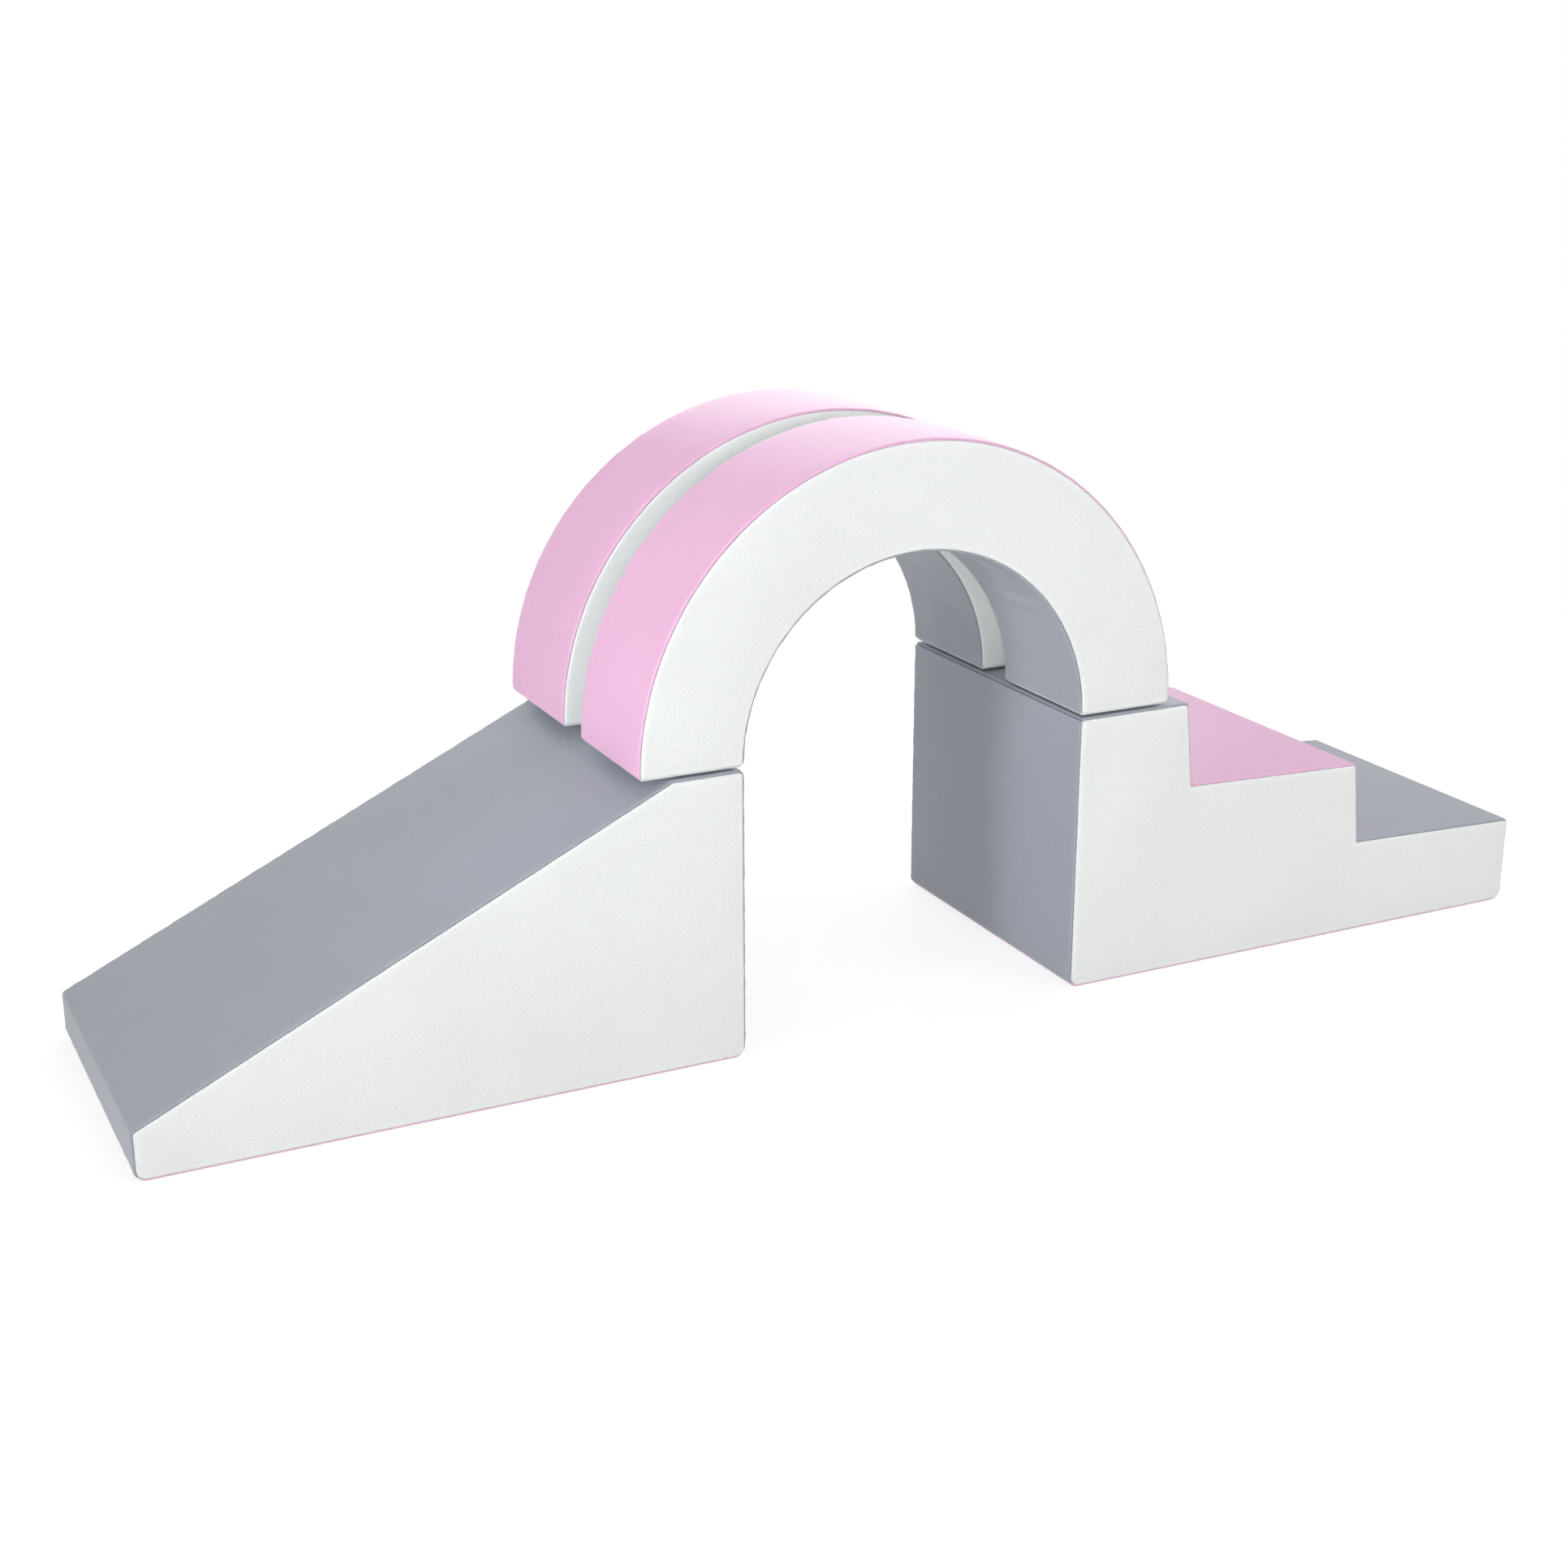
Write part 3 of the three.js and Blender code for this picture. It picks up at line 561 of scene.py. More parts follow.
def beside_slit(at, across, zip_slit):
    """How far the points of a band, rows by columns, are from a zip's slit, and less than zero inside it."""
    reach = zip_slit.along(at)
    beside = np.abs(across) - SLIT_HALF
    beyond = np.maximum(zip_slit.start - reach, reach - zip_slit.end)[:, None]
    outside = np.hypot(np.maximum(beside, 0), np.maximum(beyond, 0))
    return np.where((beside < 0) & (beyond < 0), np.maximum(beside, beyond), outside)


def band_cover(name, block, start, end, crown, seed, zip_slit=None, pads=False):
    """A strip of the band round a block, between two seams of its outline, rolled into its seams all round.
    From row to row it runs along the outline, and from column to column across the band."""
    row = stations(block.shape, start, end, zip_slit)
    half = block.depth / 2
    roll = np.array([[0.0] + ROLL])
    span = (EDGE * (math.pi / 2 - row.turn) - SEAM_GAP / 2)[:, None]
    roll = roll + (span - ROLL[-1]) * (roll / ROLL[-1]) ** 2
    rim_dip = valley(roll)
    rim_dip[:, 0] = DIP + TUCK
    inner = half - EDGE
    middle = inner - FIRST_ROWS[-1]
    steps = max(2, round(middle / GRID_PITCH))
    flat = FIRST_ROWS + [inner - middle * (1 - k / steps) for k in range(1, steps + 1)]
    if zip_slit:
        lips = [inner - SLIT_HALF - o for o in LIP]
        flat = sorted([f for f in flat if f < min(lips) - SLIT_CLEAR or f == flat[-1]] + lips)
    flat = np.array(flat)
    # From the front seam over the rim to the middle of the band, and then the same on the far side.
    level = np.zeros((len(roll), len(flat)))
    angle = np.hstack([row.turn[:, None] + GAP_ANGLE + roll / EDGE, level + math.pi / 2])
    away = np.hstack([roll, span + flat])
    dips = np.hstack([rim_dip, level])
    shift = np.concatenate([np.zeros(roll.shape[1]), flat])
    mirror = np.concatenate([np.full(len(shift), -1.0), np.full(len(shift) - 1, 1.0)])
    angle, away, dips, shift = (np.concatenate([v, v[..., -2::-1]], -1) for v in (angle, away, dips, shift))
    share = (1 - np.exp(-row.fold / CROWN_REACH))[:, None] * (1 - np.exp(-away / CROWN_REACH))
    rows, columns = share.shape
    hold = np.ones(share.shape)
    across = mirror * (inner - shift)
    if pads:
        hold = hold * (1 - np.exp(-beside_pads(row.at, across) / PRESS_REACH))
    if zip_slit:
        gone = beside_slit(row.at, across, zip_slit)
        hold = hold * (1 - np.exp(-np.maximum(gone, 0) / PRESS_REACH))
    share = share * hold
    drift = np.stack([np.repeat(row.along, columns), np.tile(across, rows)], 1)
    lift = crown * share
    if crown:
        lift += WAVE * share * waves(drift, WAVE_LENGTHS, seed).reshape(rows, columns)
        near, far = (puckers(row.along[:, None], away, seed + k) for k in (1, 2))
        lift += np.where(mirror < 0, near, far)
        lift += puckers(across[None], row.away[:, None], seed + 3)
    inset, depth = rim_place(angle, dips - lift)
    depth = depth + shift[None]
    y = mirror[None] * (half - depth)
    if zip_slit:
        lip = np.where(gone < -HAIR, SLIT_DIP + TUCK, valley(np.maximum(gone, 0), SLIT_DIP, SLIT_REACH))
        inset = inset + lip
    placed = row.at[:, None] - inset[..., None] * row.normal[:, None]
    placed = placed - (row.dip[:, None] * row.mitre)[:, None]
    points = np.stack([placed[..., 0], y + block.y, placed[..., 1]], -1).reshape(-1, 3)
    # seam is how deep each point lies in a seam or the zip's slit; the leatherette darkens it there as
    # painted shade.
    seam = np.clip(np.maximum(dips, row.dip[:, None]) / DIP, 0, 1)
    rim = np.minimum(away, row.away[:, None])
    if zip_slit:
        seam = np.maximum(seam, np.clip(lip / SLIT_DIP, 0, 1))
        rim = np.minimum(rim, np.maximum(gone, 0))
    faces = []
    for i in range(rows - 1):
        for j in range(columns - 1):
            if zip_slit and gone[i : i + 2, j : j + 2].mean() < -SLIT_TUCK - HAIR:
                continue
            a = i * columns + j
            faces.append((a, a + 1, a + columns + 1, a + columns))
    held = np.where(rim < HELD_EDGE, 1.0, 1 - hold)
    held = np.maximum(held, np.exp(-((row.fold / HELD_FOLD) ** 2))[:, None])
    made = plain_mesh(name, points, faces, {"seam": seam.ravel(), "rim": rim.ravel(), "held": held.ravel()})
    with edited(made.data) as work:
        bmesh.ops.delete(work, geom=[v for v in work.verts if not v.link_faces], context="VERTS")
    if crown:
        held = np.zeros(len(made.data.vertices), np.float32)
        made.data.attributes["held"].data.foreach_get("value", held)
        settle(made, held)
    return made


def settle(made, held):
    """Lets the foam press a sheet outwards between the seams that hold it: a short cloth simulation, with
    no point moving further than the foam gives. held is how firmly each point is held, from 0 to 1."""
    grip = made.vertex_groups.new(name="sewn")
    for weight in np.unique(np.round(held, 1)):
        grip.add(np.flatnonzero(np.round(held, 1) == weight).tolist(), float(weight), "REPLACE")
    stretch = made.modifiers.new("stretch", "CLOTH")
    cloth = stretch.settings
    cloth.vertex_group_mass = "sewn"
    cloth.quality, cloth.mass = SETTLE_QUALITY, VERTEX_MASS
    cloth.tension_stiffness = cloth.compression_stiffness = SHEET_TENSION
    cloth.shear_stiffness, cloth.bending_stiffness = SHEET_SHEAR, SHEET_BENDING
    cloth.use_pressure, cloth.uniform_pressure_force = True, FOAM_PRESSURE
    cloth.effector_weights.gravity = 0.0
    stretch.collision_settings.use_collision = False
    stretch.point_cache.frame_start, stretch.point_cache.frame_end = 1, SETTLE_FRAMES
    for step in range(1, SETTLE_FRAMES + 1):
        bpy.context.scene.frame_set(step)
    evaluated = made.evaluated_get(bpy.context.evaluated_depsgraph_get())
    before, after = (np.array([v.co for v in mesh.vertices]) for mesh in (made.data, evaluated.data))
    out = np.array([v.normal for v in made.data.vertices])
    swell = np.maximum(((after - before) * out).sum(1, keepdims=True), 0)
    most = SETTLE_MOST * MM
    made.modifiers.remove(stretch)
    made.vertex_groups.remove(grip)
    made.data.vertices.foreach_set("co", (before + out * most * np.tanh(swell / most)).ravel())
    made.data.update()
    bpy.context.scene.frame_set(1)


def leatherette(name, colour):
    """Coated leatherette: a woven backing under a foamed vinyl skin, embossed with a fine pebble and glazed
    to a satin. The skin is smoother where it rubs along the edges and a shade paler there, partly from wear
    and partly as a painted sheen. Down in the seams its colour is darker, which is painted shade."""
    made, tree, place = material_named(name)
    # The real pebble is about 0.8 mm, which wouldn't show from here, so it is drawn twice as coarse.
    warp = node(tree, "ShaderNodeTexNoise", {"Vector": place, "Scale": 300.0, "Detail": 2.0})
    push = node(tree, "ShaderNodeVectorMath", {
        0: warp.outputs["Color"], "Scale": WARP_MM * MM,
    }, operation="SCALE")
    bent = node(tree, "ShaderNodeVectorMath", {0: place, 1: push}, operation="ADD")
    pebble = node(tree, "ShaderNodeTexVoronoi", {
        "Vector": bent, "Scale": 1 / (PEBBLE_MM * MM), "Smoothness": 0.35,
    }, feature="SMOOTH_F1")
    crease = node(tree, "ShaderNodeTexNoise", {
        "Vector": bent, "Scale": 1 / (CREASE_MM * MM), "Detail": 4.0, "Roughness": 0.6,
    })
    cloud = node(tree, "ShaderNodeTexNoise", {
        "Vector": place, "Scale": 7.0, "Detail": 4.0, "Roughness": 0.55,
    })
    seam, rim = (
        node(tree, "ShaderNodeAttribute", attribute_name=name).outputs["Fac"] for name in ("seam", "rim")
    )
    # Near the edges the colour is a shade paler, partly wear and partly a painted sheen, and the skin a
    # little glossier from rubbing.
    rubbed_and_sheen = node(tree, "ShaderNodeMapRange", {
        "Value": rim, "From Min": 1.5, "From Max": 9.0, "To Min": 1.0, "To Max": 0.0,
    }, interpolation_type="SMOOTHSTEP")
    # The seam share darkens the colour down in the seams and round the zip's slit: painted shade.
    tint = tinted(
        tree, colour, (cloud, 0.965, 1.01, 0.3, 0.7), (pebble, 1.015, 0.945, 0.1, 0.7),
        (seam, 1.0, 0.8), (rubbed_and_sheen, 1.0, 1.035),
    )
    gloss = node(tree, "ShaderNodeMapRange", {"Value": crease, "To Min": 0.4, "To Max": 0.6})
    glazed = node(tree, "ShaderNodeMath", {0: rubbed_and_sheen, 1: -0.07, 2: gloss}, operation="MULTIPLY_ADD")
    relief = node(tree, "ShaderNodeMath", {0: pebble, 1: -0.6, 2: crease}, operation="MULTIPLY_ADD")
    bump = node(tree, "ShaderNodeBump", {"Height": relief, "Strength": 0.55, "Distance": 0.4 * MM})
    skin = node(tree, "ShaderNodeBsdfPrincipled", {
        "Base Color": tint, "Roughness": glazed, "Normal": bump, "Coat Weight": 0.3, "Coat Roughness": 0.32,
    })
    node(tree, "ShaderNodeOutputMaterial", {"Surface": skin})
    return made


sheets = {
    name: leatherette(name + "_leatherette", colour)
    for name, colour in (("white", WHITE), ("grey", GREY), ("pink", PINK))
}


def fit_cover(made, block_name, part, colour):
    """Gives a panel its thickness and finish, and fixes it to its block."""
    made.data.materials.append(sheets[colour])
    made.data.polygons.foreach_set("use_smooth", [True] * len(made.data.polygons))
    solid = made.modifiers.new("thickness", "SOLIDIFY")
    solid.thickness, solid.offset = SHEET * MM, -1.0
    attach(made, blocks[block_name].body)
    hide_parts(block_name + "_" + part)


def sew_sides(block_name, seed):
    """The front and rear panels of a cover."""
    block = blocks[block_name]
    block.fill = flat_fill(block.shape)
    for k, (part, side) in enumerate((("front", -1), ("rear", 1))):
        made = side_cover(block_name + "_" + part + "_cover", block, side, seed + 10 * k)
        fit_cover(made, block_name, part + "_panel", "white")


def sew_band(block_name, part, start, end, colour, seed, crown=CROWN, zip_slit=None, pads=False):
    """One panel of the band round a cover, from one named seam to the next."""
    block = blocks[block_name]
    made = band_cover(block_name + "_" + part + "_cover", block, start, end, crown, seed, zip_slit, pads)
    fit_cover(made, block_name, part + "_panel", colour)


def mottled(name, colour, scale, low, high, finish, relief=0.0):
    """A plain material: its colour wanders between two shares of itself, with a bump that goes with it."""
    made, tree, place = material_named(name)
    cloud = node(tree, "ShaderNodeTexNoise", {"Vector": place, "Scale": scale, "Detail": 2.0})
    skin = node(tree, "ShaderNodeBsdfPrincipled", {
        "Base Color": tinted(tree, colour, (cloud, low, high)), **finish,
    })
    if relief:
        bump = node(tree, "ShaderNodeBump", {"Height": cloud, "Strength": relief, "Distance": 0.1 * MM})
        tree.links.new(bump.outputs[0], skin.inputs["Normal"])
    node(tree, "ShaderNodeOutputMaterial", {"Surface": skin})
    return made


# Bonded polyester thread: white and twisted, with a faint sheen. The twist shows as a fine ripple.
thread = mottled("bonded_polyester_thread", THREAD_WHITE, 1 / (THREAD_TWIST_MM * MM), 0.84, 1.05, {
    "Roughness": 0.6, "Sheen Weight": 0.2, "Sheen Roughness": 0.4,
}, relief=0.5)


def named_inputs(tree, **sizes):
    """Gives a geometry tree its geometry in and out and its named sizes, and returns the nodes of both
    ends."""
    tree.interface.new_socket("Geometry", in_out="INPUT", socket_type="NodeSocketGeometry")
    for key, value in sizes.items():
        tree.interface.new_socket(key, in_out="INPUT", socket_type="NodeSocketFloat").default_value = value
    tree.interface.new_socket("Geometry", in_out="OUTPUT", socket_type="NodeSocketGeometry")
    return node(tree, "NodeGroupInput").outputs, node(tree, "NodeGroupOutput")


def grown(made, tree, **sizes):
    """Runs a geometry tree on an object, with its named sizes in millimetres, and keeps the mesh that it
    makes."""
    growth = made.modifiers.new("growth", "NODES")
    growth.node_group = tree
    for item in tree.interface.items_tree:
        if item.in_out == "INPUT" and item.name in sizes:
            growth[item.identifier] = sizes[item.name] * MM
    frozen(made)


def along_strands(tree, size, piece):
    """The strands of a mesh, and a piece at each pitch along them. The piece lies the way that its strand's
    "lay" points, and its "up" is off the sheet."""
    strands = node(tree, "GeometryNodeMeshToCurve", {"Mesh": size["Geometry"]})
    spots = node(tree, "GeometryNodeResampleCurve", {
        "Curve": strands, "Length": size["Pitch"],
    }, mode="LENGTH")
    up, lay = (
        node(tree, "GeometryNodeInputNamedAttribute", {"Name": name}, data_type="FLOAT_VECTOR")
        for name in ("up", "lay")
    )
    axes = {"Primary Axis": up, "Secondary Axis": lay}
    turn = node(tree, "FunctionNodeAxesToRotation", axes, primary_axis="Z", secondary_axis="X")
    laid = node(tree, "GeometryNodeInstanceOnPoints", {"Points": spots, "Instance": piece, "Rotation": turn})
    return strands, node(tree, "GeometryNodeRealizeInstances", {"Geometry": laid})


def smooth_in(tree, geometry, material, finished):
    """Ends a geometry tree: shaded smooth, in one material."""
    smooth = node(tree, "GeometryNodeSetShadeSmooth", {"Geometry": geometry})
    dressed = node(tree, "GeometryNodeSetMaterial", {"Geometry": smooth, "Material": material})
    tree.links.new(dressed.outputs[0], finished.inputs[0])


# Stitches along the strands of a mesh: short bows of thread.
stitches = bpy.data.node_groups.new("stitches", "GeometryNodeTree")
size, finished = named_inputs(stitches, Pitch=0.005, Length=0.0015, Rise=0.0003, Thickness=0.0005)
half = node(stitches, "ShaderNodeMath", {0: size["Length"], 1: 0.5}, operation="MULTIPLY")
other = node(stitches, "ShaderNodeMath", {0: size["Length"], 1: -0.5}, operation="MULTIPLY")
wire = node(stitches, "ShaderNodeMath", {0: size["Thickness"], 1: 0.5}, operation="MULTIPLY")
bow = node(stitches, "GeometryNodeCurveQuadraticBezier", {
    "Resolution": 4,
    "Start": node(stitches, "ShaderNodeCombineXYZ", {"X": other}),
    "Middle": node(stitches, "ShaderNodeCombineXYZ", {"Z": size["Rise"]}),
    "End": node(stitches, "ShaderNodeCombineXYZ", {"X": half}),
})
ring = node(stitches, "GeometryNodeCurvePrimitiveCircle", {"Resolution": 5, "Radius": wire})
stitch = node(stitches, "GeometryNodeCurveToMesh", {"Curve": bow, "Profile Curve": ring, "Fill Caps": True})
smooth_in(stitches, along_strands(stitches, size, stitch)[1], thread, finished)


def strand_mesh(name, strands):
    """A mesh of bare strands, each given as its points, lay, up and whether it closes on itself."""
    points, lays, ups, edges = [], [], [], []
    for spots, lay, up, closed in strands:
        first = sum(len(p) for p in points)
        edges += [(first + k, first + k + 1) for k in range(len(spots) - 1)]
        edges += [(first + len(spots) - 1, first)] if closed else []
        points.append(spots)
        lays.append(np.broadcast_to(lay, spots.shape))
        ups.append(np.broadcast_to(up, spots.shape))
    marks = {"lay": np.concatenate(lays), "up": np.concatenate(ups)}
    return plain_mesh(name, np.concatenate(points), [], marks, edges)


def sew_seams(block_name):
    """The stitches that close a cover, which show as small bars across the bottom of its seams."""
    block = blocks[block_name]
    shape, half = block.shape, block.depth / 2
    mitre = shape.out / np.linalg.norm(shape.out, axis=1)[:, None]
    inset, depth = rim_place(shape.turn, THREAD_DEPTH)
    cos, sin = np.cos(shape.turn), np.sin(shape.turn)
    flat = shape.points - inset[:, None] * shape.out
    strands = []
    for side in (-1, 1):
        spots = np.stack([flat[:, 0], block.y + side * (half - depth), flat[:, 1]], 1)
        lay = np.stack([mitre[:, 0] * cos, -side * sin, mitre[:, 1] * cos], 1)
        up = np.stack([mitre[:, 0] * sin, side * cos, mitre[:, 1] * sin], 1)
        strands.append((spots, lay, up, True))
    for index in shape.seams.values():
        out = mitre[index]
        x, z = shape.points[index] - THREAD_DEPTH * out
        reach = half - EDGE - CROSS_SHORT
        level = block.y + np.linspace(-reach, reach, CROSS_SPOTS)
        spots = np.stack([np.full(CROSS_SPOTS, x), level, np.full(CROSS_SPOTS, z)], 1)
        strands.append((spots, (-out[1], 0, out[0]), (out[0], 0, out[1]), False))
    made = strand_mesh(block_name + "_seam_thread", strands)
    grown(made, stitches, **SEAM_STITCH)
    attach(made, block.body)


sew_sides("slide", 1)
sew_band("slide", "base", "toe", "heel", "pink", 21, 0.0, block_zip)
sew_band("slide", "tunnel_end", "heel", "top", "grey", 31)
sew_band("slide", "chute", "top", "toe", "grey", 41, pads=True)
sew_seams("slide")

# Stairs cover: the same leatherette, with one sheet for each step, which is its tread and its riser in one.
# The steps take turns in grey and pink.
sew_sides("stairs", 101)
sew_band("stairs", "base", "heel", "foot_2", "pink", 121, 0.0, block_zip)
sew_band("stairs", "tunnel_end", "top", "heel", "grey", 131)
sew_band("stairs", "top_step", "foot_0", "top", "grey", 141, pads=True)
sew_band("stairs", "middle_step", "foot_1", "foot_0", "pink", 151)
sew_band("stairs", "low_step", "foot_2", "foot_1", "grey", 161)
sew_seams("stairs")

# Arch covers: white half rings front and rear, a pink sheet over the outside and a grey one through the
# tunnel, and a white sheet under each foot, which stays flat because it stands on its pad.
for place, seed in (("front", 201), ("rear", 301)):
    name = place + "_arch"
    sew_sides(name, seed)
    sew_band(name, "outer", "right_outer", "left_outer", "pink", seed + 21)
    sew_band(name, "inner", "left_inner", "right_inner", "grey", seed + 31, zip_slit=arch_zip)
    sew_band(name, "left_foot", "left_outer", "left_inner", "white", seed + 41, 0.0)
    sew_band(name, "right_foot", "right_inner", "right_outer", "white", seed + 51, 0.0)
    sew_seams(name)

# Hook and loop patches, which keep the arches from sliding: nylon loops on the slide's platform and on the
# top tread, and stiff nylon hooks under the arch feet. Each is a woven webbing with its pile, sewn on all
# round.
WEBBING, WEBBING_EDGE, PILE, PILE_ROOT, PATCH_CORNER, SELVEDGE = 0.5, 0.2, 0.7, -0.1, 4.0, 4.5
PILE_PITCH_MM, PILE_WIRE, WEBBING_THREAD_MM = 1.8, 0.3, 1.1
LOOP_LEVEL, HOOK_LEVEL = BLOCK_HEIGHT, ARCH_BASE
NYLON_GREY, NYLON_IOR = "#d6d9d8", 1.53


def woven(name, colour, thread_mm):
    """Plain woven cloth: two sets of threads, over and under each other. The mesh's along and across say
    how far each point is along the two, in millimetres. Real threads are about half as wide as thread_mm
    draws them."""
    made, tree, place = material_named(name)
    sets = []
    for way in ("along", "across"):
        far = node(tree, "ShaderNodeAttribute", attribute_name=way).outputs["Fac"]
        phase = node(tree, "ShaderNodeMath", {0: far, 1: math.pi / thread_mm}, operation="MULTIPLY")
        sets.append(node(tree, "ShaderNodeMath", {0: phase}, operation="SINE"))
    weave = node(tree, "ShaderNodeMath", {0: sets[0], 1: sets[1]}, operation="MULTIPLY")
    height = node(tree, "ShaderNodeMath", {0: weave}, operation="ABSOLUTE")
    cloud = node(tree, "ShaderNodeTexNoise", {"Vector": place, "Scale": 60.0, "Detail": 3.0})
    tint = tinted(tree, colour, (height, 0.8, 1.0), (cloud, 0.93, 1.03))
    bump = node(tree, "ShaderNodeBump", {"Height": height, "Strength": 0.8, "Distance": 0.15 * MM})
    skin = node(tree, "ShaderNodeBsdfPrincipled", {
        "Base Color": tint, "Roughness": 0.8, "Normal": bump, "Sheen Weight": 0.25, "Sheen Roughness": 0.5,
    })
    node(tree, "ShaderNodeOutputMaterial", {"Surface": skin})
    return made


webbing = woven("woven_nylon_webbing", NYLON_GREY, WEBBING_THREAD_MM)

# Nylon monofilament: clearer and glossier than the webbing that it stands on.
pile = mottled("nylon_monofilament", NYLON_GREY, 400.0, 0.85, 1.08, {"Roughness": 0.35, "IOR": NYLON_IOR})


def pile_tree(name, ends, seed):
    """Grows nylon on the faces marked "pile": ends are the handles of one loop or hook, in millimetres."""
    tree = bpy.data.node_groups.new(name, "GeometryNodeTree")
    size, finished = named_inputs(tree, Spacing=0.002, Thickness=0.0003)
    start, first, second, end = (tuple(v * MM for v in spot) for spot in ends)
    bow = node(tree, "GeometryNodeCurvePrimitiveBezierSegment", {
        "Resolution": 5, "Start": start, "Start Handle": first, "End Handle": second, "End": end,
    })
    wire = node(tree, "ShaderNodeMath", {0: size["Thickness"], 1: 0.5}, operation="MULTIPLY")
    ring = node(tree, "GeometryNodeCurvePrimitiveCircle", {"Resolution": 3, "Radius": wire})
    hair = node(tree, "GeometryNodeCurveToMesh", {"Curve": bow, "Profile Curve": ring})
    marked = node(tree, "GeometryNodeInputNamedAttribute", {"Name": "pile"}, data_type="FLOAT")
    chosen = node(tree, "FunctionNodeCompare", {0: marked, 1: 0.5}, operation="GREATER_THAN")
    roots = node(tree, "GeometryNodeDistributePointsOnFaces", {
        "Mesh": size["Geometry"], "Selection": chosen, "Distance Min": size["Spacing"],
        "Density Max": 400000.0, "Seed": seed,
    }, distribute_method="POISSON")
    any_way = node(tree, "FunctionNodeRandomValue", {"Max": 2 * math.pi, "Seed": seed}, data_type="FLOAT")
    spin = node(tree, "FunctionNodeAxisAngleToRotation", {"Axis": (0, 0, 1), "Angle": any_way.outputs[1]})
    turn = node(tree, "FunctionNodeRotateRotation", {
        "Rotation": roots.outputs["Rotation"], "Rotate By": spin,
    }, rotation_space="LOCAL")
    stood = node(tree, "GeometryNodeInstanceOnPoints", {
        "Points": roots.outputs["Points"], "Instance": hair, "Rotation": turn,
    })
    real = node(tree, "GeometryNodeRealizeInstances", {"Geometry": stood})
    nylon = node(tree, "GeometryNodeSetMaterial", {"Geometry": real, "Material": pile})
    base = node(tree, "GeometryNodeSetMaterial", {"Geometry": size["Geometry"], "Material": webbing})
    joined = node(tree, "GeometryNodeJoinGeometry")
    tree.links.new(nylon.outputs[0], joined.inputs[0])
    tree.links.new(base.outputs[0], joined.inputs[0])
    tree.links.new(joined.outputs[0], finished.inputs[0])
    return tree


handle = 4 / 3 * PILE
loops = pile_tree("nylon_loops", [
    (-0.4, 0, PILE_ROOT), (-1.0, 0.2, handle), (1.0, -0.2, handle), (0.4, 0, PILE_ROOT),
], 5)
hooks = pile_tree("nylon_hooks", [(0, 0, PILE_ROOT), (0, 0, handle), (0.7, 0, handle), (0.6, 0, PILE / 2)], 7)


def rounded_box(x, y, corner):
    """A rectangle with rounded corners about zero, anticlockwise, as half sizes."""
    spots = []
    for k, (sx, sy) in enumerate(((1, 1), (-1, 1), (-1, -1), (1, -1))):
        for turn in np.linspace(0, math.pi / 2, 6) + k * math.pi / 2:
            cos, sin = math.cos(turn), math.sin(turn)
            spots.append((sx * (x - corner) + corner * cos, sy * (y - corner) + corner * sin))
    return np.array(spots)


def flat_ring(spots, x, y, z):
    """Spots about zero, moved to x and y and lifted to z."""
    return np.column_stack([spots + [x, y], np.full(len(spots), z)])


def patch(block_name, piece, node_name, x, y, level, up, tree):
    """One patch, its webbing against the sheet at a level and its pile standing up or hanging down. Returns
    the strand along which it is sewn on."""
    half_x, half_y = PAD_LENGTH / 2, PAD_WIDTH / 2
    rings = [(0, 0.0), (0, WEBBING - WEBBING_EDGE), (WEBBING_EDGE, WEBBING), (SELVEDGE, WEBBING)]
    points, along, across, piled = [], [], [], []
    for inset, rise in rings:
        spots = rounded_box(half_x - inset, half_y - inset, max(PATCH_CORNER - inset, 1.0))
        points.append(flat_ring(spots, x, y, level + up * rise))
        along.append(spots[:, 0])
        across.append(spots[:, 1])
        piled.append(np.full(len(spots), float(inset == SELVEDGE)))
    size = (len(rings), len(points[0]))
    faces = quads(*size) + caps(*size)
    marks = {"along": np.concatenate(along), "across": np.concatenate(across), "pile": np.concatenate(piled)}
    made = plain_mesh(block_name + "_" + piece, np.concatenate(points), faces, marks)
    keep_outward(made)
    grown(made, tree, Spacing=PILE_PITCH_MM, Thickness=PILE_WIRE)
    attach(made, blocks[block_name].body)
    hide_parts(block_name + "_" + node_name)
    sewn = rounded_box(half_x - SELVEDGE / 2, half_y - SELVEDGE / 2, PATCH_CORNER - SELVEDGE / 2)
    spots = flat_ring(sewn, x, y, level + up * WEBBING)
    ahead = np.roll(spots, -1, 0) - np.roll(spots, 1, 0)
    return spots, ahead / np.linalg.norm(ahead, axis=1)[:, None], np.array([0.0, 0.0, up]), True


pad_x = ARCH_INNER + PAD_INSET + PAD_LENGTH / 2
trims = {name: [] for name in blocks}
for name, side in (("slide", -1), ("stairs", 1)):
    for row, y in (("front", -arch_y), ("rear", arch_y)):
        trims[name].append(patch(
            name, row + "_loop_patch", row + "_loop_pad", side * pad_x, y, LOOP_LEVEL, 1, loops
        ))
for name in ("front_arch", "rear_arch"):
    for row, side in (("left", -1), ("right", 1)):
        trims[name].append(patch(
            name, row + "_hook_patch", row + "_hook_pad", side * pad_x, blocks[name].y, HOOK_LEVEL, -1, hooks
        ))

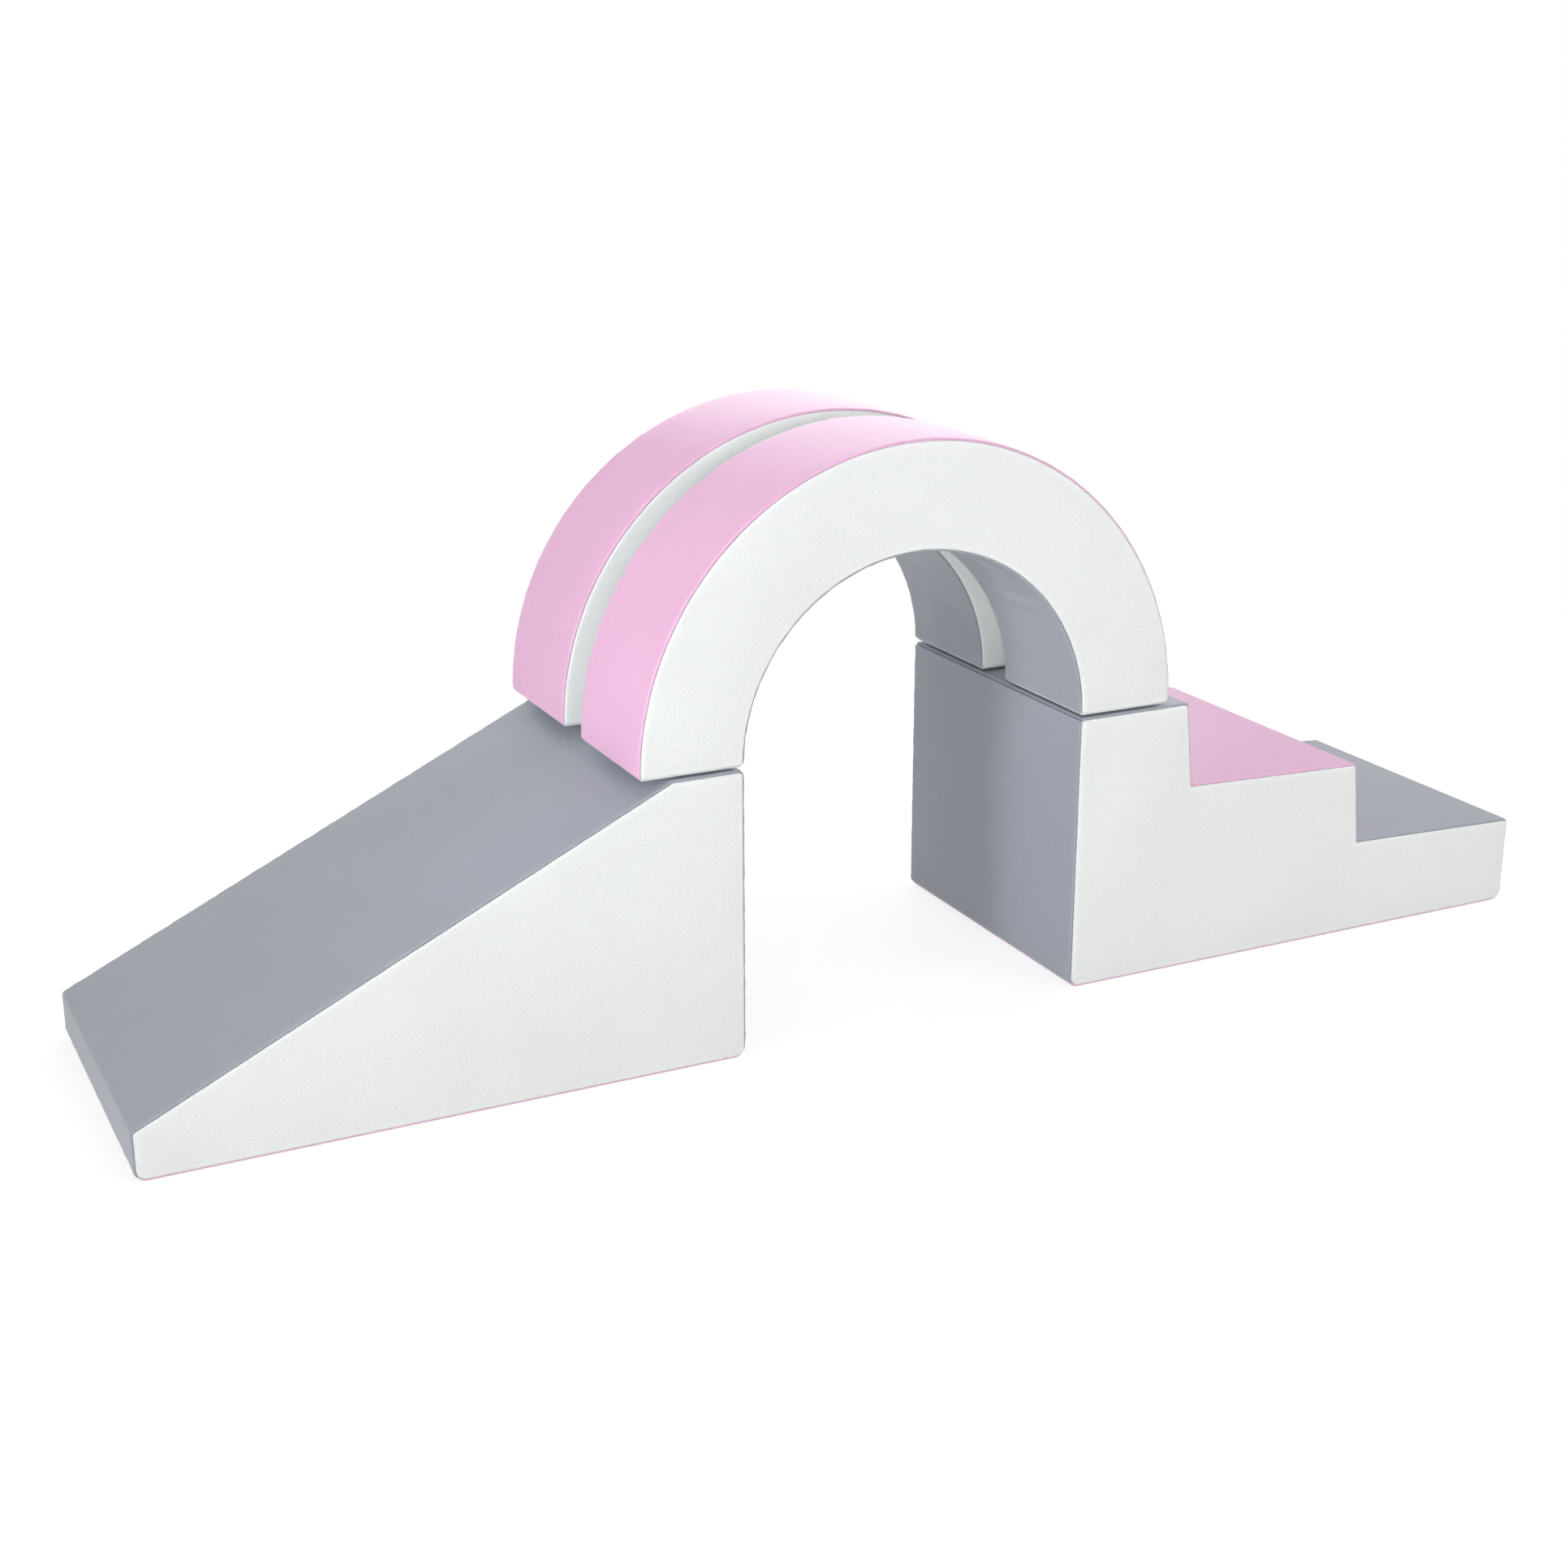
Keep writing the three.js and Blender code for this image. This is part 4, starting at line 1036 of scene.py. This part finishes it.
# Zips. A polyester tape lines each channel and carries a nylon coil: two rows of turns, one on each side,
# that lock into each other. Sewn into the cover along both lips, it lets the foam out for washing.
TAPE, TAPE_HALF, TAPE_FLOOR, TAPE_TOP, TAPE_SHORT = 0.6, 14.6, 8.5, 1.2, 0.3
TAPE_CORNER, HOLLOW_CORNER, HOLLOW_PROUD = 2.0, 1.5, 4.0
COIL_SHORT, COIL_PITCH = 8.0, 2.0
COIL_LEVEL, ROW_OFFSET, TURN_REACH, TURN_RISE, COIL_WIRE = 7.1, 1.1, 1.6, 0.7, 0.6
TURN_SLANT = 0.22
STOP_LENGTH, STOP_EDGE, STOP_END_SHARE = 3.0, 0.3, 0.85
STOP_HALF_WIDTH, STOP_HALF_HEIGHT, STOP_CORNER = 3.1, 1.05, 0.5
LIP_STITCH, END_SPOTS, LIP_SEARCH = 3.0, 13, 6.0
TRIM_STITCH = {"Pitch": 3.8, "Length": 2.7, "Rise": 0.25, "Thickness": 0.5}
TAPE_GREY, COIL_GREY = "#d3d6d6", "#c6cacb"
TAPE_THREAD_MM = 0.9

tape_cloth = woven("woven_polyester_tape", TAPE_GREY, TAPE_THREAD_MM)

# Nylon monofilament, heat-set into a coil: translucent grey-white with a soft gloss.
coil_nylon = mottled("heat_set_nylon_coil", COIL_GREY, 350.0, 0.86, 1.05, {
    "Roughness": 0.32, "IOR": NYLON_IOR,
})

# One turn of the coil at each step along a row, with the cord that runs inside the turns.
coil = bpy.data.node_groups.new("zip_coil", "GeometryNodeTree")
size, finished = named_inputs(coil, Pitch=0.002, Reach=0.0016, Rise=0.0007, Wire=0.0006)
ring = node(coil, "GeometryNodeCurvePrimitiveCircle", {"Resolution": 10, "Radius": 1.0})
turn_size = node(coil, "ShaderNodeCombineXYZ", {"X": size["Reach"], "Y": size["Rise"], "Z": 1.0})
oval = node(coil, "GeometryNodeTransform", {"Geometry": ring, "Scale": turn_size})
stood = node(coil, "GeometryNodeTransform", {"Geometry": oval, "Rotation": (math.pi / 2, 0, TURN_SLANT)})
wire = node(coil, "ShaderNodeMath", {0: size["Wire"], 1: 0.5}, operation="MULTIPLY")
round_wire = node(coil, "GeometryNodeCurvePrimitiveCircle", {"Resolution": 4, "Radius": wire})
one_turn = node(coil, "GeometryNodeCurveToMesh", {"Curve": stood, "Profile Curve": round_wire})
rows, real = along_strands(coil, size, one_turn)
cord = node(coil, "GeometryNodeCurveToMesh", {"Curve": rows, "Profile Curve": round_wire})
together = node(coil, "GeometryNodeJoinGeometry")
coil.links.new(real.outputs[0], together.inputs[0])
coil.links.new(cord.outputs[0], together.inputs[0])
smooth_in(coil, together, coil_nylon, finished)


def trough(half, floor, top, corner):
    """A section with rounded bottom corners, as (across, up)."""
    turns = np.linspace(0, math.pi / 2, 4)
    right = [(half - corner + corner * math.sin(a), -floor + corner - corner * math.cos(a)) for a in turns]
    return [(-half, -top)] + [(-x, u) for x, u in right[::-1]] + right + [(half, -top)]


def zip_ribbon(name):
    """The tape, folded to line its channel: a trough with its hollow cut out."""
    block = blocks[name]
    whole = trough(TAPE_HALF, TAPE_FLOOR + TAPE, TAPE_TOP, TAPE_CORNER)
    ribbon = plain_mesh(name + "_zip_ribbon", *swept(*zip_path(name, TAPE_SHORT), whole))
    keep_outward(ribbon)
    hollow = trough(TAPE_HALF - TAPE, TAPE_FLOOR, -HOLLOW_PROUD, HOLLOW_CORNER)
    cut_out(ribbon, swept(*zip_path(name, TAPE_SHORT + TAPE), hollow))
    spots = np.array([v.co for v in ribbon.data.vertices]) / MM
    along = block.zip.along(spots[:, [0, 2]])
    if block.zip is arch_zip:
        down = np.hypot(spots[:, 0], spots[:, 2] - ARCH_BASE) - ARCH_INNER
    else:
        down = spots[:, 2]
    over = spots[:, 1] - block.y
    across = over - np.sign(over) * down
    mark(ribbon.data, {"along": along, "across": across})
    ribbon.data.materials.clear()
    ribbon.data.materials.append(tape_cloth)
    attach(ribbon, block.body)
    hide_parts(name + "_zip_tape")


def zip_teeth(name):
    """The coil's two rows of turns, half a pitch apart, and the stop at each end of them."""
    middle, out = zip_path(name, COIL_SHORT)
    ahead, across = frame_along(middle, out)
    rows = []
    for side in (-1, 1):
        first = 0 if side < 0 else COIL_PITCH / 2
        spots = middle - COIL_LEVEL * out + side * ROW_OFFSET * across + first * ahead
        rows.append((spots[:-1], side * across[:-1], out[:-1], False))
    teeth = strand_mesh(name + "_zip_teeth", rows)
    grown(teeth, coil, Pitch=COIL_PITCH, Reach=TURN_REACH, Rise=TURN_RISE, Wire=COIL_WIRE)
    section = rounded_box(STOP_HALF_WIDTH, STOP_HALF_HEIGHT, STOP_CORNER)
    rings = (
        (0, STOP_END_SHARE), (STOP_EDGE, 1.0), (STOP_LENGTH - STOP_EDGE, 1.0), (STOP_LENGTH, STOP_END_SHARE)
    )
    size = (len(rings), len(section))
    with edited(teeth.data) as work:
        for index, way in ((0, 1), (-1, -1)):
            at = middle[index] - COIL_LEVEL * out[index]
            flat = section[:, :1] * across[index] + section[:, 1:] * out[index]
            spots = [at + way * reach * ahead[index] + share * flat for reach, share in rings]
            added = [work.verts.new(spot * MM) for spot in np.concatenate(spots)]
            stop = [work.faces.new([added[k] for k in face]) for face in quads(*size) + caps(*size)]
            bmesh.ops.recalc_face_normals(work, faces=stop)
    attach(teeth, blocks[name].body)
    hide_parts(name + "_zip_coil")


def lip_stitches(name, cover):
    """Where the sheet is sewn to the tape, round the zip's slit: one strand for each of its four sides."""
    bpy.context.view_layer.update()
    middle, out = zip_path(name, -LIP_STITCH)
    ahead, across = frame_along(middle, out)
    reach = SLIT_HALF + LIP_STITCH
    ends = np.linspace(-reach, reach, END_SPOTS)[:, None]
    lines = [(middle + side * reach * across, ahead, out) for side in (-1, 1)]
    lines += [(middle[i] + ends * across[i], across[i], np.tile(out[i], (END_SPOTS, 1))) for i in (0, -1)]
    strands = []
    for spots, lay, up in lines:
        found = []
        for spot, way in zip(spots, up):
            start = Vector((spot + LIP_SEARCH * way) * MM)
            hit, where, _, _ = cover.ray_cast(start, Vector(-way), distance=2 * LIP_SEARCH * MM)
            found.append(np.array(where) / MM if hit else spot)
        strands.append((np.array(found), lay, up, False))
    return strands


for name, panel in (("slide", "base"), ("stairs", "base"), ("front_arch", "inner"), ("rear_arch", "inner")):
    zip_ribbon(name)
    zip_teeth(name)
    trims[name] += lip_stitches(name, bpy.data.objects[name + "_" + panel + "_cover"])
    trim = strand_mesh(name + "_trim_thread", trims[name])
    grown(trim, stitches, **TRIM_STITCH)
    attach(trim, blocks[name].body)

# Zip sliders and pulls: zinc, die-cast and nickel-plated, so bright with a faint warm tone, a little uneven
# where the casting was tumbled, with soft edges. Each pull hangs on its slider's bridge.
CAST_EDGE, MERGE = 0.15, 0.001
SHARP, FLAT = math.radians(30), math.radians(1)
NICKEL = "#c9c5bd"

nickel, tree, place = material_named("nickel_plated_zinc_casting")
cloud = node(tree, "ShaderNodeTexNoise", {"Vector": place, "Scale": 500.0, "Detail": 3.0})
scuffs = node(tree, "ShaderNodeTexNoise", {"Vector": place, "Scale": 1500.0, "Detail": 2.0})
tint = tinted(tree, NICKEL, (cloud, 0.86, 1.05))
rough = node(tree, "ShaderNodeMapRange", {"Value": scuffs, "To Min": 0.2, "To Max": 0.42})
bump = node(tree, "ShaderNodeBump", {"Height": cloud, "Strength": 0.25, "Distance": 0.1 * MM})
skin = node(tree, "ShaderNodeBsdfPrincipled", {
    "Base Color": tint, "Metallic": 1.0, "Roughness": rough, "Normal": bump,
})
node(tree, "ShaderNodeOutputMaterial", {"Surface": skin})


def cast_copy(piece, node_name, body):
    """A casting: the CAD solid's shape with its flat faces whole and its edges softened."""
    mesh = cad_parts[node_name].data.copy()
    made = bpy.data.objects.new(piece, mesh)
    bpy.context.scene.collection.objects.link(made)
    with edited(mesh) as work:
        bmesh.ops.remove_doubles(work, verts=work.verts, dist=MERGE * MM)
        bmesh.ops.dissolve_limit(work, angle_limit=FLAT, verts=work.verts, edges=work.edges)
    soft = made.modifiers.new("cast_edges", "BEVEL")
    soft.width, soft.segments, soft.limit_method, soft.angle_limit = CAST_EDGE * MM, 2, "ANGLE", SHARP
    mesh.materials.clear()
    mesh.materials.append(nickel)
    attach(made, body)
    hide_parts(node_name)


for name in blocks:
    cast_copy(name + "_zip_cart", name + "_zip_slider", name + "_zip_runner")
    cast_copy(name + "_zip_tab", name + "_zip_pull", name + "_pull_tab")

# The room: a sweep to stand the set on, broad soft lamps from the front, the right, above and behind, a
# narrow one into the tunnel, and a white surround. To the camera the floor is as white as the background,
# and keeps the set's shadow. The light that it throws back on the set is that of a light grey sweep.
FLOOR_SIZE, NEAR_FLOOR, FAR_FLOOR = 40.0, 0.9, 1.7
SWEEP_GREY, SHADOW_GREY, FLOOR_GLOW = "#cbcbcb", (0.4, 0.4, 0.4, 1), 0.76
SURROUND_LIGHT = 0.5
CAMERA_AT = (-1.0753, -2.0542, 0.9761)
CAMERA_YAW, CAMERA_PITCH = 0.4579, 0.3207
CAMERA_LENS, SENSOR = 52.54, 36.0


def shown(tree):
    """One for the rays that show a thing to the camera, straight, mirrored or through glass, and zero for
    those that only carry light."""
    ray = node(tree, "ShaderNodeLightPath").outputs
    share = ray["Is Camera Ray"]
    for kind in ("Is Glossy Ray", "Is Transmission Ray"):
        share = node(tree, "ShaderNodeMath", {0: share, 1: ray[kind]}, operation="MAXIMUM")
    return share


bpy.ops.mesh.primitive_plane_add(size=FLOOR_SIZE)
floor = bpy.context.object
floor.name = "floor"
paper, tree, place = material_named("white_paper_sweep")
matt = node(tree, "ShaderNodeBsdfDiffuse", {"Color": linear(SWEEP_GREY)})
faint = node(tree, "ShaderNodeBsdfDiffuse", {"Color": SHADOW_GREY})
glow = node(tree, "ShaderNodeEmission", {"Color": (1, 1, 1, 1), "Strength": FLOOR_GLOW})
near = node(tree, "ShaderNodeAddShader", {0: faint, 1: glow})
white = node(tree, "ShaderNodeEmission", {"Color": (1, 1, 1, 1), "Strength": 1.0})
from_middle = node(tree, "ShaderNodeVectorMath", {0: place}, operation="LENGTH")
away = node(tree, "ShaderNodeMapRange", {
    "Value": from_middle.outputs["Value"], "From Min": NEAR_FLOOR, "From Max": FAR_FLOOR,
}, interpolation_type="SMOOTHSTEP")
lit = node(tree, "ShaderNodeMixShader", {0: away, 1: near, 2: white})
mixed = node(tree, "ShaderNodeMixShader", {0: shown(tree), 1: matt, 2: lit})
node(tree, "ShaderNodeOutputMaterial", {"Surface": mixed})
floor.data.materials.append(paper)

world = bpy.data.worlds.new("white_surround")
bpy.context.scene.world = world
tree = bare_tree(world)
strength = node(tree, "ShaderNodeMapRange", {"Value": shown(tree), "To Min": SURROUND_LIGHT, "To Max": 1.0})
air = node(tree, "ShaderNodeBackground", {"Color": (1, 1, 1, 1), "Strength": strength})
node(tree, "ShaderNodeOutputWorld", {"Surface": air})


def soft_lamp(name, at, aim, size, power, spread=180):
    """A round lamp with a soft edge to its shadows, turned to what it lights."""
    lamp = bpy.data.lights.new(name, "AREA")
    lamp.shape, lamp.size, lamp.energy, lamp.spread = "DISK", size, power, math.radians(spread)
    holder = bpy.data.objects.new(name, lamp)
    bpy.context.scene.collection.objects.link(holder)
    holder.location = at
    holder.rotation_mode = "QUATERNION"
    holder.rotation_quaternion = (Vector(aim) - Vector(at)).to_track_quat("-Z", "Y")


soft_lamp("front_lamp", (-2.3, -3.6, 0.7), (0, 0, 0.3), 1.6, 56)
soft_lamp("right_lamp", (2.2, -2.8, 1.6), (0, 0, 0.2), 2.0, 24)
soft_lamp("top_lamp", (0.5, 0.9, 2.8), (0.1, 0, 0.4), 1.8, 9.5)
soft_lamp("rear_lamp", (1.6, 3.4, 1.5), (0.1, 0, 0.3), 2.4, 27)
soft_lamp("tunnel_lamp", (-3.2, -1.3, 0.75), (0.22, 0, 0.42), 0.8, 1.15, spread=24)
bpy.data.objects["tunnel_lamp"].visible_glossy = False

camera = bpy.data.objects.new("camera", bpy.data.cameras.new("camera"))
bpy.context.scene.collection.objects.link(camera)
camera.data.lens, camera.data.sensor_width = CAMERA_LENS, SENSOR
camera.location = CAMERA_AT
ahead = Vector((
    math.sin(CAMERA_YAW) * math.cos(CAMERA_PITCH),
    math.cos(CAMERA_YAW) * math.cos(CAMERA_PITCH),
    -math.sin(CAMERA_PITCH),
))
camera.rotation_mode = "QUATERNION"
camera.rotation_quaternion = ahead.to_track_quat("-Z", "Y")
bpy.context.scene.camera = camera
bpy.context.scene.view_settings.view_transform = "Standard"
